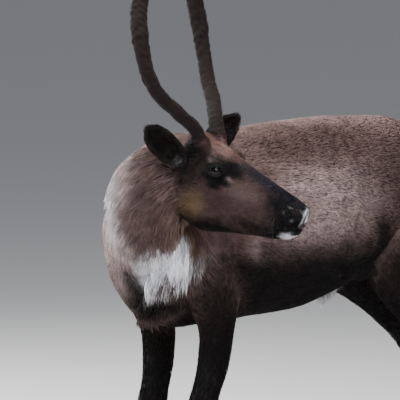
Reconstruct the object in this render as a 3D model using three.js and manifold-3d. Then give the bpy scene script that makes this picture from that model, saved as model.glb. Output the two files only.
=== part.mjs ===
// A reindeer, life size, standing still and looking back past its left shoulder.
// Millimetres, +Z up. The chest faces -Y, the animal's left side is +X and its hooves stand on Z = 0.

import * as THREE from 'three';
import { mergeVertices } from 'three/addons/utils/BufferGeometryUtils.js';
import Module from 'manifold-3d';

const wasm = await Module();
wasm.setup();

// Driving dimensions
const GAP = 0.3; // left between two pieces that touch
const FINEST = 0.12; // flat slivers smaller than this are merged
const UP = new THREE.Vector3(0, 0, 1);
const FORWARD = new THREE.Vector3(0, -1, 0);
const MOVE_TO_CENTRE = [-167, 38, 0]; // puts the origin under the middle of the model's box
const SPINE_Z = 830;
const CHEST_CUT_Y = -120; // where the chest ends and the barrel begins
const RUMP_CUT_Y = 235; // where the barrel ends and the rump begins
const BEND_FROM_Y = -120; // the spine is straight ahead of this and bends left behind it
const BEND_RADIUS = 2700;

// The head's place and its turn, in degrees
const HEAD_AT = [276, -578, 998];
const HEAD_HEADING = 18; // from +X towards +Y
const HEAD_PITCH = 24; // nose down
const HEAD_ROLL = 8; // crown towards the right side
const EYE = { at: [44, 52, 43], ball: 20.5, lid: 3.4, gaze: [0.4, 1, 0.12] };
const PEDICLE = { at: [-14, 46, 80], radius: 24 };
const BEAM_RADIUS = 21;
const BEAM_FLAT = 0.84; // a beam's girth across against its girth fore and aft
const ANTLER_LEAN = 0.035; // how far the pair leans to the left for its height
const STEP_BACK = 100; // how far the right hind foot stands behind the left one
const FORE_STAGGER = 8; // how far the left forefoot is ahead of, and the right behind, the middle

const rad = THREE.MathUtils.degToRad;
const vec = (p) => new THREE.Vector3(...p);

// A geometry as a solid. A shape that was mapped inside out is turned the right way.
function solid(geometry) {
  const bare = new THREE.BufferGeometry().setAttribute('position', geometry.getAttribute('position'));
  bare.setIndex(geometry.index);
  const merged = mergeVertices(bare, 1e-3);
  const triVerts = new Uint32Array(merged.index.array);
  const build = () =>
    new wasm.Manifold(
      new wasm.Mesh({ numProp: 3, vertProperties: merged.attributes.position.array, triVerts }),
    );
  const made = build();
  if (made.volume() > 0) return made;
  for (let i = 0; i < triVerts.length; i += 3) {
    [triVerts[i + 1], triVerts[i + 2]] = [triVerts[i + 2], triVerts[i + 1]];
  }
  return build();
}

function join(pieces) {
  return pieces.reduce((all, piece) => all.add(piece));
}

function without(piece, ...cutters) {
  return cutters.reduce((left, cutter) => left.subtract(cutter), piece);
}

// The largest closed body of a solid
function largest(piece) {
  return piece.decompose().reduce((a, b) => (a.volume() > b.volume() ? a : b));
}

// A material in sRGB hex, with its roughness
function hide(color, roughness = 0.9) {
  return new THREE.MeshStandardMaterial({ color, roughness, metalness: 0, flatShading: true });
}

function mesh(name, piece, material) {
  const body = largest(piece).asOriginal().simplify(FINEST);
  const { vertProperties, triVerts, numProp } = body.getMesh();
  const position = new THREE.BufferAttribute(new Float32Array(vertProperties), numProp);
  const geometry = new THREE.BufferGeometry().setAttribute('position', position);
  geometry.setIndex(new THREE.BufferAttribute(new Uint32Array(triVerts), 1));
  geometry.computeVertexNormals();
  const made = new THREE.Mesh(geometry, material);
  made.name = name;
  return made;
}

// A repeatable scatter between -1 and 1
let seed = 7;
function jitter() {
  seed = (seed * 16807) % 2147483647;
  return (2 * seed) / 2147483647 - 1;
}

const power = (value, exponent) => Math.sign(value) * Math.abs(value) ** exponent;

// Samples the rows of numbers of a list of sections along a smooth curve
function sampler(rows) {
  const curve = new THREE.CatmullRomCurve3(rows.map(vec), false, 'centripetal');
  return (t) => curve.getPoint(t);
}

// A form drawn by sections along a smooth line. A section is { at, side, top, under, square, keel }: its centre,
// its half width, its reach to each side of the centre along `up`, how square it is and how much it narrows
// underneath. What comes back gives the point of the skin at a place along the line and an angle around it.
function former(sections, { up = UP, grow = 0 } = {}) {
  const centre = new THREE.CatmullRomCurve3(sections.map((s) => vec(s.at)), false, 'centripetal');
  const size = sampler(sections.map((s) => [s.side, s.top, s.under]));
  const form = sampler(sections.map((s, i) => [s.square ?? 2.2, s.keel ?? 0, i]));
  return function skin(t, angle, scale = 1, shift = 0) {
    const along = centre.getTangent(t);
    const lateral = new THREE.Vector3().crossVectors(along, up).normalize();
    const normal = new THREE.Vector3().crossVectors(lateral, along);
    const reach = size(t);
    const shape = form(t);
    const across = power(Math.cos(angle), 2 / shape.x);
    const high = power(Math.sin(angle), 2 / shape.x);
    const narrow = high < 0 ? 1 + shape.y * high : 1;
    const tall = high > 0 ? reach.y : reach.z;
    const out = lateral
      .clone()
      .multiplyScalar(across * narrow * (reach.x + grow))
      .addScaledVector(normal, high * (tall + grow));
    const point = centre.getPoint(t).addScaledVector(along, shift).addScaledVector(out, scale);
    return { point, along, out: out.normalize() };
  };
}

// A closed tube of such sections. `head` and `tail` are the lengths of its rounded ends, `grow` is added all round.
function loft(sections, options = {}) {
  const { around = 20, steps = 12, head = 0, tail = 0, grow = 0, map = null } = options;
  const skin = former(sections, options);
  const capRings = Math.max(1, Math.round(around / 8));
  const ring = (t, scale, shift) =>
    Array.from({ length: around + 1 }, (_, i) => skin(t, (2 * Math.PI * (i % around)) / around, scale, shift).point);

  // The rings of a rounded end, from its tip inwards
  function cap(t, length, sign) {
    if (length + grow <= 0) return [ring(t, 0, 0)];
    const turns = Array.from({ length: capRings + 1 }, (_, i) => (Math.PI / 2) * (1 - i / (capRings + 1)));
    return turns.map((turn, i) => ring(t, i ? Math.cos(turn) : 0, sign * Math.sin(turn) * (length + grow)));
  }

  const rings = [
    ...cap(0, head, -1),
    ...Array.from({ length: steps + 1 }, (_, i) => ring(i / steps, 1, 0)),
    ...cap(1, tail, 1).reverse(),
  ];
  const shell = new THREE.SphereGeometry(1, around, rings.length - 1);
  const position = shell.getAttribute('position');
  rings.flat().forEach((point, i) => position.setXYZ(i, ...(map ? map(point) : point)));
  return solid(shell);
}

// A flat lock of hair that tapers and bends away from the skin. Its root is sunk where it grows.
function lock(root, out, flow, { length, width, thick, lift }) {
  const across = new THREE.Vector3().crossVectors(flow, out).normalize();
  const away = new THREE.Vector3().crossVectors(across, flow).normalize();
  const places = [
    [0, -0.6, 0.7, 1],
    [0.3, 0.1, 1, 1],
    [0.68, 0.35, 0.8, 0.8],
    [1, 1, 0.16, 0.35],
  ];
  const sections = places.map(([along, rise, wide, deep]) => ({
    at: root.clone().addScaledVector(flow, along * length).addScaledVector(away, rise * lift).toArray(),
    side: (width * wide) / 2,
    top: (thick * deep) / 2,
    under: (thick * deep) / 2,
    square: 2,
  }));
  return loft(sections, { up: away, around: 5, steps: 3 });
}

// Locks laid in rows over a form. A row is { t, from, to, count }: its place along the form and its angles.
function locksOn(skin, rows, size, pull) {
  return rows.flatMap(({ t, from, to, count, long = 1 }) =>
    Array.from({ length: count }, (_, i) => {
      const share = (i + 0.5 + 0.35 * jitter()) / count;
      const { point, along, out } = skin(t + 0.03 * jitter(), rad(from + (to - from) * share));
      const flow = along
        .clone()
        .addScaledVector(vec(pull), 0.3 + 0.15 * jitter())
        .addScaledVector(out, 0.08);
      const length = size.length * long * (1 + 0.18 * jitter());
      return lock(point.addScaledVector(out, -2), out, flow.normalize(), { ...size, length });
    }),
  );
}

// The trunk and hind legs are drawn straight, then bent to the left behind BEND_FROM_Y
function bend(point) {
  const past = point.y - BEND_FROM_Y;
  if (past <= 0) return point;
  const angle = past / BEND_RADIUS;
  const toCentre = BEND_RADIUS - point.x;
  return new THREE.Vector3(
    BEND_RADIUS - toCentre * Math.cos(angle),
    BEND_FROM_Y + toCentre * Math.sin(angle),
    point.z,
  );
}

// The same list of sections on the left or, with side -1, on the right
function onSide(side, sections) {
  return sections.map((s) => ({ ...s, at: [s.at[0] * side, s.at[1], s.at[2]] }));
}

// Sections run from the chest to the rump
const TRUNK = [
  { at: [0, -585, SPINE_Z], side: 55, top: 30, under: 90 },
  { at: [0, -548, SPINE_Z], side: 104, top: 95, under: 172 },
  { at: [0, -480, SPINE_Z], side: 140, top: 180, under: 240 },
  { at: [0, -390, SPINE_Z], side: 166, top: 246, under: 266 },
  { at: [0, -270, SPINE_Z], side: 188, top: 250, under: 266 },
  { at: [0, -120, SPINE_Z], side: 212, top: 252, under: 260 },
  { at: [0, 40, SPINE_Z], side: 228, top: 262, under: 254 },
  { at: [0, 180, SPINE_Z], side: 222, top: 269, under: 222 },
  { at: [0, 320, SPINE_Z], side: 204, top: 268, under: 166 },
  { at: [0, 440, SPINE_Z], side: 182, top: 262, under: 118 },
  { at: [0, 550, SPINE_Z], side: 146, top: 234, under: 72 },
  { at: [0, 626, SPINE_Z], side: 92, top: 165, under: 30 },
];

const SHOULDER = [
  { at: [66, -385, 1030], side: 28, top: 45, under: 60 },
  { at: [106, -400, 940], side: 40, top: 75, under: 92 },
  { at: [124, -420, 840], side: 50, top: 78, under: 108 },
  { at: [125, -425, 755], side: 54, top: 66, under: 112 },
  { at: [122, -400, 685], side: 50, top: 54, under: 95 },
];

const FORE_UPPER = [
  { at: [120, -418, 765], side: 44, top: 60, under: 94 },
  { at: [123, -385, 690], side: 51, top: 76, under: 104 },
  { at: [118, -345, 620], side: 47, top: 66, under: 86 },
  { at: [110, -326, 545], side: 41, top: 50, under: 56 },
  { at: [103, -332, 460], side: 39, top: 45, under: 47 },
  { at: [97, -350, 395], side: 37, top: 40, under: 40 },
];

const FORE_LOWER = [
  { at: [97, -350, 395], side: 37, top: 40, under: 40 },
  { at: [95, -360, 355], side: 39, top: 45, under: 37 },
  { at: [94, -362, 308], side: 31, top: 34, under: 34 },
  { at: [94, -364, 225], side: 27, top: 28, under: 31 },
  { at: [95, -364, 150], side: 29, top: 30, under: 37 },
  { at: [96, -374, 104], side: 31, top: 32, under: 37 },
  { at: [97, -390, 64], side: 35, top: 35, under: 36 },
];

const HIP = [
  { at: [78, 350, 1010], side: 52, top: 80, under: 105 },
  { at: [104, 398, 925], side: 84, top: 124, under: 142 },
  { at: [118, 408, 830], side: 88, top: 138, under: 152 },
];

const HIND_UPPER = [
  { at: [106, 412, 880], side: 74, top: 112, under: 126 },
  { at: [130, 410, 780], side: 82, top: 128, under: 142 },
  { at: [146, 405, 690], side: 72, top: 124, under: 122 },
  { at: [147, 428, 620], side: 56, top: 90, under: 94 },
  { at: [141, 474, 552], side: 45, top: 60, under: 68 },
  { at: [133, 526, 486], side: 38, top: 47, under: 55 },
  { at: [129, 556, 442], side: 37, top: 43, under: 48 },
];

const HIND_LOWER = [
  { at: [129, 556, 442], side: 37, top: 43, under: 48 },
  { at: [127, 573, 402], side: 36, top: 42, under: 42 },
  { at: [124, 576, 345], side: 31, top: 36, under: 37 },
  { at: [121, 568, 255], side: 27, top: 30, under: 33 },
  { at: [119, 558, 165], side: 29, top: 32, under: 38 },
  { at: [118, 550, 106], side: 31, top: 33, under: 38 },
  { at: [118, 532, 64], side: 35, top: 35, under: 36 },
];

const NECK = [
  { at: [0, -430, 850], side: 132, top: 150, under: 190 },
  { at: [34, -517, 890], side: 116, top: 130, under: 172 },
  { at: [97, -583, 948], side: 98, top: 108, under: 142 },
  { at: [164, -606, 998], side: 84, top: 84, under: 120 },
  { at: [228, -594, 1018], side: 72, top: 74, under: 98 },
];

// The mane under the throat, which hangs in front of the chest
const BIB = [
  { at: [70, -545, 905], side: 105, top: 62, under: 100 },
  { at: [60, -538, 850], side: 128, top: 62, under: 110 },
  { at: [52, -530, 765], side: 126, top: 52, under: 110 },
  { at: [30, -516, 685], side: 88, top: 40, under: 90 },
  { at: [8, -500, 616], side: 26, top: 16, under: 40 },
];

// The head, in its own frame: +X to the nose, +Y its left, +Z its crown
const HEAD = [
  { at: [-82, 0, 0], side: 40, top: 58, under: 48 },
  { at: [-50, 0, 0], side: 62, top: 84, under: 100, keel: 0.1 },
  { at: [0, 0, 0], side: 69, top: 92, under: 141, keel: 0.25 },
  { at: [45, 0, 0], side: 64, top: 89, under: 145, keel: 0.3 },
  { at: [90, 0, 0], side: 54, top: 80, under: 130, keel: 0.3 },
  { at: [140, 0, 0], side: 46, top: 70, under: 109, keel: 0.3, square: 2.3 },
  { at: [190, 0, 0], side: 41, top: 62, under: 92, keel: 0.25, square: 2.4 },
  { at: [235, 0, 0], side: 40, top: 57, under: 78, keel: 0.25, square: 2.5 },
  { at: [270, 0, 0], side: 39, top: 51, under: 64, keel: 0.3, square: 2.6 },
  { at: [291, 0, 0], side: 35, top: 44, under: 47, keel: 0.3, square: 2.5 },
];

const SIDES = { left: 1, right: -1 };
const hairCoat = hide('#6b5f61');
const paleCoat = hide('#a19497');
const faceCoat = hide('#5b4c4c');
const darkCoat = hide('#33292a');
const velvet = hide('#33292a', 0.95);
const horn = hide('#1b1718', 0.6);
const eyeGloss = hide('#0b0a0c', 0.08);

// A limb drawn once for the left side. The fore and hind feet stand a little apart fore and aft.
function limb(side, sections, options = {}) {
  const stagger = (s) => {
    const down = THREE.MathUtils.smoothstep(860 - s.at[2], 0, 260);
    if (s.at[1] < 0) return -FORE_STAGGER * side * down;
    return side < 0 ? STEP_BACK * down : 0;
  };
  const placed = sections.map((s) => ({ ...s, at: [s.at[0] * side, s.at[1] + stagger(s), s.at[2]] }));
  return loft(placed, { up: FORWARD, around: 16, steps: 10, map: bend, ...options });
}

const eachSide = (make) => Object.entries(SIDES).map(([name, side]) => make(side, name));

function trunkForms(grow = 0) {
  return join([
    loft(TRUNK, { around: 26, steps: 21, head: 35, tail: 30, grow, map: bend }),
    ...eachSide((side) => limb(side, SHOULDER, { around: 14, head: 30, tail: 30, steps: 6, grow })),
    ...eachSide((side) => limb(side, HIP, { head: 40, tail: 40, steps: 4, around: 16, grow })),
    ...eachSide((side) =>
      loft(onSide(side, FLANK_FOLD), { around: 12, head: 30, tail: 20, steps: 4, grow, map: bend }),
    ),
  ]);
}

// The fold of skin that runs from the belly to the stifle
const FLANK_FOLD = [
  { at: [172, 120, 690], side: 26, top: 40, under: 26 },
  { at: [158, 215, 690], side: 20, top: 44, under: 34 },
  { at: [150, 300, 705], side: 20, top: 50, under: 46 },
];

const FORE_FINENESS = { head: 30, steps: 8, around: 13 };
const HIND_FINENESS = { head: 50, steps: 9, around: 15 };
const SHANK_FINENESS = { tail: 8, steps: 10, around: 12 };
const upperLegs = (grow = 0) => [
  ...eachSide((side) => limb(side, FORE_UPPER, { ...FORE_FINENESS, grow })),
  ...eachSide((side) => limb(side, HIND_UPPER, { ...HIND_FINENESS, grow })),
];

const neckCore = (grow = 0) => loft(NECK, { around: 20, steps: 9, grow });

// The head's frame, level and then tilted
const levelHead = new THREE.Matrix4()
  .makeRotationZ(rad(HEAD_HEADING))
  .setPosition(...HEAD_AT);
const tilt = new THREE.Matrix4().makeRotationFromEuler(
  new THREE.Euler(rad(HEAD_ROLL), rad(HEAD_PITCH), 0, 'YXZ'),
);
const tiltedHead = levelHead.clone().multiply(tilt);
const placedBy = (matrix) => (point) => point.clone().applyMatrix4(matrix);
const inHead = placedBy(tiltedHead);

function headBall(at, radii, grow = 0, turn = [0, 0, 0], detail = 12) {
  const shape = new THREE.SphereGeometry(1, detail, Math.round(detail * 0.6));
  shape.scale(...radii.map((r) => r + grow));
  shape.applyQuaternion(new THREE.Quaternion().setFromEuler(new THREE.Euler(...turn.map(rad))));
  return solid(shape.translate(...at).applyMatrix4(tiltedHead));
}

// A smooth line in the head's level frame, from an antler's foot: back, out and up
const BEAM = [
  [-8, -14, -22],
  [0, 0, 0],
  [14, 20, 48],
  [45, 78, 98],
  [80, 126, 150],
  [98, 147, 200],
  [110, 152, 250],
  [118, 153, 300],
  [127, 140, 360],
  [120, 116, 430],
  [92, 95, 500],
];

function pedicleTop(side) {
  return new THREE.Vector3(PEDICLE.at[0], PEDICLE.at[1] * side, PEDICLE.at[2]).applyMatrix4(tilt);
}

// Sections of nearly round girth along a list of [back, out, up] points
function antlerLine(side, points, girth) {
  const foot = pedicleTop(side);
  return points.map(([back, out, high], i) => {
    const radius = girth(i / (points.length - 1));
    const at = [foot.x - back, foot.y + out * side + ANTLER_LEAN * high, foot.z + high];
    return { at, side: radius * BEAM_FLAT, top: radius, under: radius * 0.97, square: 2 };
  });
}

const inLevelHead = placedBy(levelHead);
const ALONG = new THREE.Vector3(1, 0, 0);
const antlerLoft = (sections, options) =>
  loft(sections, { up: ALONG, around: 10, map: inLevelHead, ...options });

function pedicle(side, grow = 0) {
  const stub = BEAM.slice(0, 3).map(([b, o, h], i) => [b, o, h].map((v) => (i === 2 ? v * 0.4 : v)));
  return antlerLoft(antlerLine(side, stub, () => PEDICLE.radius), { steps: 3, grow });
}

function headForms(grow = 0) {
  return join([
    loft(HEAD, { around: 24, steps: 16, head: 25, tail: 15, grow, map: inHead }),
    headBall([-34, 0, 70], [38, 52, 32], grow),
    headBall([250, 0, -51], [42, 26, 19], grow, [0, -14, 0]),
    ...eachSide((side) => headBall([EYE.at[0] - 5, 42 * side, EYE.at[2] + 6], [40, 28, 34], grow)),
    ...eachSide((side) => headBall([26, 28 * side, -54], [70, 28, 60], grow)),
    ...eachSide((side) => headBall([279, 22 * side, 16], [27, 18, 26], grow)),
    ...eachSide((side) => pedicle(side, grow)),
  ]);
}

// The opening between the lids, as a prism along the eye's gaze
function lidOpening(side) {
  const almond = new THREE.Shape();
  almond.moveTo(-18, -3);
  almond.quadraticCurveTo(2, 22, 18, 2);
  almond.quadraticCurveTo(1, -17, -18, -3);
  const prism = new THREE.ExtrudeGeometry(almond, { depth: 40, bevelEnabled: false, curveSegments: 6 });
  const gaze = vec(EYE.gaze).normalize();
  const rise = UP.clone().addScaledVector(gaze, -gaze.z).normalize();
  const place = new THREE.Matrix4()
    .makeBasis(new THREE.Vector3().crossVectors(rise, gaze), rise, gaze)
    .setPosition(...EYE.at);
  prism.translate(0, 0, 5).applyMatrix4(place).scale(1, side, 1);
  return solid(prism.applyMatrix4(tiltedHead));
}

// The line of the lips, cut only as deep as the lips are thick
function mouthLine() {
  const line = [
    { at: [204, 0, -60], side: 80, top: 1.4, under: 1.4 },
    { at: [240, 0, -45], side: 80, top: 1.5, under: 1.5 },
    { at: [280, 0, -25], side: 80, top: 1.7, under: 1.7 },
    { at: [330, 0, -4], side: 80, top: 1.9, under: 1.9 },
  ];
  const core = loft(HEAD, { around: 18, steps: 12, head: 18, tail: 9, grow: -7, map: inHead });
  return loft(line, { around: 10, steps: 6, map: inHead }).subtract(core);
}

function lids(side, grow) {
  const reach = EYE.ball + EYE.lid + grow;
  return headBall([EYE.at[0], EYE.at[1] * side, EYE.at[2]], [reach, reach, reach], 0, [90, 0, 0], 14);
}

function eyeball(side, grow = 0) {
  const reach = EYE.ball + grow;
  return headBall([EYE.at[0], EYE.at[1] * side, EYE.at[2]], [reach, reach, reach], 0, [90, 0, 0], 14);
}

function makeHead() {
  const whole = join([headForms(), ...eachSide((side) => lids(side, 0))]);
  return without(
    whole,
    mouthLine(),
    ...eachSide((side) => headBall([268, 40 * side, 20], [14, 8, 8], 0, [0, 28, 8 * side], 8)),
    ...eachSide((side) => eyeball(side, GAP)),
    ...eachSide((side) => lidOpening(side)),
  );
}

// An ear in its own frame: +X to the tip, open towards +Z
const EAR = [
  { at: [-20, 0, 2], side: 21, top: 14, under: 17 },
  { at: [12, 0, 0], side: 25, top: 13, under: 22 },
  { at: [46, 0, -4], side: 33, top: 10, under: 24 },
  { at: [82, 0, -5], side: 35, top: 8, under: 21 },
  { at: [114, 0, 1], side: 29, top: 7, under: 14 },
  { at: [136, 0, 10], side: 14, top: 5, under: 7 },
];
const EAR_CUP = [
  { at: [12, 0, 16], side: 12, top: 20, under: 14 },
  { at: [46, 0, 12], side: 27, top: 30, under: 33 },
  { at: [82, 0, 12], side: 30, top: 30, under: 31 },
  { at: [113, 0, 16], side: 24, top: 30, under: 23 },
  { at: [131, 0, 24], side: 10, top: 26, under: 18 },
];
const EARS = {
  left: { at: [-38, 50, 22], to: [56, 86, 100], open: [0.65, -0.75, 0.1] },
  right: { at: [-46, -53, 21], to: [-82, -80, 100], open: [0.6, -0.8, 0] },
};

function ear(name) {
  const { at, to, open } = EARS[name];
  const along = vec(to).normalize();
  const facing = vec(open).addScaledVector(along, -vec(open).dot(along)).normalize();
  const place = new THREE.Matrix4()
    .makeBasis(along, new THREE.Vector3().crossVectors(facing, along), facing)
    .setPosition(vec(at).applyMatrix4(tilt))
    .premultiply(levelHead);
  const map = placedBy(place);
  const shell = loft(EAR, { around: 14, steps: 8, head: 5, tail: 7, map });
  const cup = loft(EAR_CUP, { around: 11, steps: 6, head: 8, tail: 6, map });
  return without(shell, cup, headForms(GAP), neckCore(GAP));
}

// A foot: two broad toes, flat below, and the two small claws behind them
const TOE = [
  { at: [17, 16, 72], side: 14, top: 18, under: 16 },
  { at: [24, 2, 46], side: 20, top: 32, under: 30, square: 2.4 },
  { at: [27.5, -8, 20], side: 23, top: 46, under: 35, square: 2.5 },
  { at: [29, -14, -8], side: 25, top: 56, under: 38, square: 2.5 },
];
const DEWCLAW = [
  { at: [16, 46, 118], side: 11, top: 12, under: 9 },
  { at: [22, 60, 84], side: 12, top: 12, under: 10 },
  { at: [27, 68, 48], side: 11, top: 10, under: 9 },
  { at: [29, 70, 26], side: 6, top: 6, under: 6 },
];

// Sections of a foot's piece, moved to where the foot of that limb stands
function atFoot(sections, lower, inner) {
  const [x, y] = lower[lower.length - 1].at;
  return sections.map((s) => ({ ...s, at: [x + s.at[0] * inner, y + s.at[1], s.at[2]] }));
}

function foot(side, lower, inner, grown) {
  const toe = limb(side, atFoot(TOE, lower, inner), { around: 10, steps: 3, head: 4 });
  return without(toe.trimByPlane([0, 0, 1], 0), grown);
}

function dewclaw(side, lower, inner, grown) {
  return without(limb(side, atFoot(DEWCLAW, lower, inner), { around: 6, steps: 3, tail: 4 }), grown);
}

// A form's skin as it lies once the spine is bent
const bent = (skin) => (t, angle) => {
  const place = skin(t, angle);
  const turn = new THREE.Quaternion().setFromAxisAngle(UP, -Math.max(0, place.point.y - BEND_FROM_Y) / BEND_RADIUS);
  return {
    point: bend(place.point),
    along: place.along.clone().applyQuaternion(turn),
    out: place.out.clone().applyQuaternion(turn),
  };
};

const SHEATH = [
  { at: [0, 280, 670], side: 24, top: 24, under: 30 },
  { at: [0, 256, 632], side: 22, top: 22, under: 26 },
  { at: [0, 235, 588], side: 14, top: 14, under: 15 },
];
const TAIL = [
  { at: [0, 600, 985], side: 34, top: 18, under: 16 },
  { at: [0, 655, 945], side: 36, top: 20, under: 18 },
  { at: [0, 690, 880], side: 34, top: 17, under: 17 },
  { at: [0, 700, 820], side: 16, top: 9, under: 9 },
];

// The whole trunk, with what the legs leave of it
const legRoots = upperLegs(GAP);
const trunk = without(trunkForms(), ...legRoots);
const turnAtRump = (RUMP_CUT_Y - BEND_FROM_Y) / BEND_RADIUS;
const rumpNormal = new THREE.Vector3(Math.sin(turnAtRump), Math.cos(turnAtRump), 0);
const rumpPlane = bend(new THREE.Vector3(0, RUMP_CUT_Y, 0)).dot(rumpNormal);
const chest = trunk.trimByPlane([0, -1, 0], -CHEST_CUT_Y + GAP / 2);
const barrel = trunk
  .trimByPlane([0, 1, 0], CHEST_CUT_Y + GAP / 2)
  .trimByPlane([...rumpNormal.clone().negate()], -rumpPlane + GAP / 2);
const rump = trunk.trimByPlane([...rumpNormal], rumpPlane + GAP / 2);
const grownTrunk = trunkForms(GAP);
const sheath = join([
  loft(SHEATH, { up: FORWARD, around: 10, steps: 4, tail: 8, map: bend }),
  ...locksOn(
    bent(former(SHEATH, { up: FORWARD })),
    [{ t: 0.8, from: 0, to: 360, count: 5 }],
    { length: 34, width: 15, thick: 6, lift: 4 },
    [0, 0, -0.5],
  ),
]);
const TAIL_ROWS = [
  { t: 0.45, from: 200, to: 340, count: 3 },
  { t: 0.75, from: 20, to: 340, count: 5, long: 0.9 },
];
const tail = join([
  loft(TAIL, { up: FORWARD, around: 12, steps: 6, tail: 8, map: bend }),
  ...locksOn(
    bent(former(TAIL, { up: FORWARD })),
    TAIL_ROWS,
    { length: 70, width: 26, thick: 9, lift: 7 },
    [0, 0.1, -0.4],
  ),
]);

const model = new THREE.Group();
model.add(mesh('chest', chest, hairCoat));
model.add(mesh('barrel', barrel, hairCoat));
model.add(mesh('rump', rump, hairCoat));
model.add(mesh('sheath', without(sheath, grownTrunk), hairCoat));
model.add(mesh('tail', without(tail, grownTrunk), paleCoat));

const MANE_LOCK = { width: 40, thick: 13, lift: 11 };
const BIB_ROWS = [
  { t: 0.18, from: 60, to: 195, count: 4 },
  { t: 0.34, from: 40, to: 210, count: 6 },
  { t: 0.5, from: 20, to: 205, count: 7 },
  { t: 0.66, from: 5, to: 190, count: 7, long: 0.9 },
  { t: 0.8, from: 0, to: 175, count: 5, long: 0.75 },
  { t: 0.92, from: 20, to: 150, count: 3, long: 0.5 },
];
const NECK_ROWS = [
  { t: 0.22, from: 150, to: 215, count: 3 },
  { t: 0.45, from: 150, to: 225, count: 3 },
  { t: 0.68, from: 155, to: 235, count: 3, long: 0.9 },
];
const downNeck = (skin) => (t, angle) => {
  const place = skin(t, angle);
  return { ...place, along: place.along.clone().negate() };
};
const neckForms = join([
  neckCore(),
  loft(BIB, { up: FORWARD, around: 18, steps: 7, tail: 12 }),
  ...locksOn(former(BIB, { up: FORWARD }), BIB_ROWS, { ...MANE_LOCK, length: 112 }, [-0.8, -0.25, -0.1]),
  ...locksOn(downNeck(former(NECK)), NECK_ROWS, { ...MANE_LOCK, length: 120 }, [-0.1, -0.2, -1]),
]);
model.add(mesh('neck', without(neckForms, grownTrunk, ...legRoots, headForms(GAP)), paleCoat));
model.add(mesh('head', makeHead(), faceCoat));

const legs = {
  foreleg: [FORE_UPPER, FORE_LOWER, FORE_FINENESS],
  hindleg: [HIND_UPPER, HIND_LOWER, HIND_FINENESS],
};
for (const [name, side] of Object.entries(SIDES)) {
  model.add(mesh(`ear_${name}`, ear(name), darkCoat));
  model.add(mesh(`eye_${name}`, eyeball(side), eyeGloss));
  for (const [leg, [upper, lower, fineness]] of Object.entries(legs)) {
    const jointZ = upper[upper.length - 1].at[2];
    const thigh = limb(side, upper, fineness).trimByPlane([0, 0, 1], jointZ + GAP / 2);
    const below = [upper[upper.length - 2], ...lower];
    const shank = limb(side, below, SHANK_FINENESS).trimByPlane([0, 0, -1], -jointZ + GAP / 2);
    const grown = limb(side, below, { ...SHANK_FINENESS, grow: GAP });
    model.add(mesh(`${leg}_upper_${name}`, thigh, darkCoat));
    model.add(mesh(`${leg}_lower_${name}`, shank, darkCoat));
    for (const [toe, inner] of [['outer', 1], ['inner', -1]]) {
      model.add(mesh(`${leg}_${toe}_hoof_${name}`, foot(side, lower, inner, grown), horn));
      model.add(mesh(`${leg}_${toe}_dewclaw_${name}`, dewclaw(side, lower, inner, grown), horn));
    }
  }
}

// Antlers: a beam each, which forks at its end
const beamGirth = (t) => {
  const broad = 0.2 * Math.exp(-(((t - 0.74) / 0.13) ** 2));
  const foot = 0.12 * Math.max(0, 1 - t / 0.12);
  return BEAM_RADIUS * (1.01 + broad + foot - 0.14 * THREE.MathUtils.smoothstep(t, 0.85, 1));
};
const tineGirth = (t) => BEAM_RADIUS * (0.82 - 0.42 * t);
const TINES = {
  front: [[104, 102, 478], [52, 87, 540], [-22, 73, 600], [-84, 65, 640]],
  rear: [[68, 89, 530], [74, 75, 590], [86, 59, 650], [92, 47, 694]],
};
for (const [name, side] of Object.entries(SIDES)) {
  const beam = (grow = 0) =>
    antlerLoft(antlerLine(side, BEAM, beamGirth), { steps: 17, tail: 14, grow });
  const tine = (points, grow = 0) =>
    antlerLoft(antlerLine(side, points, tineGirth), { steps: 4, around: 7, tail: 8, grow });
  const frontTine = without(tine(TINES.front), beam(GAP));
  const rearTine = without(tine(TINES.rear), beam(GAP), tine(TINES.front, GAP));
  model.add(mesh(`antler_${name}_beam`, without(beam(), headForms(GAP)), velvet));
  model.add(mesh(`antler_${name}_front_tine`, frontTine, velvet));
  model.add(mesh(`antler_${name}_rear_tine`, rearTine, velvet));
}

model.position.set(...MOVE_TO_CENTRE);
export default model;
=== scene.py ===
"""A reindeer in its summer coat: one skin, its hair, eyes, velvet antlers and hooves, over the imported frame.

Lengths in the lists are millimetres in the animal's own frame: -Y ahead, +X its left, +Z up. The head has a
frame of its own: +X to the nose, +Y its left, +Z its crown. MOVE takes the animal's frame to the part's.
"""
import math

import bmesh
import bpy
import numpy as np
from bpy.props import FloatProperty, FloatVectorProperty, PointerProperty
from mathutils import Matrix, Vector


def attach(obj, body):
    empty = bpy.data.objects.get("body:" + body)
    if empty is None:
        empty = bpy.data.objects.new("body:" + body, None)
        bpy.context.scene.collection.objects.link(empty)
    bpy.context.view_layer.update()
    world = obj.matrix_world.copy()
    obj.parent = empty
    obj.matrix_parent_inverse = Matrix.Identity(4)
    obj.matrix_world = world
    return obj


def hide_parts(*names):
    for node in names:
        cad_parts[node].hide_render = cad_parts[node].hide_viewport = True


bl_info = {
    "name": "Reindeer",
    "version": (1, 0, 0),
    "blender": (4, 5, 0),
    "location": "View3D > Sidebar > Reindeer",
    "description": "Dresses a reindeer frame with skin, hair, eyes, antlers and hooves",
    "category": "Object",
}

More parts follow.
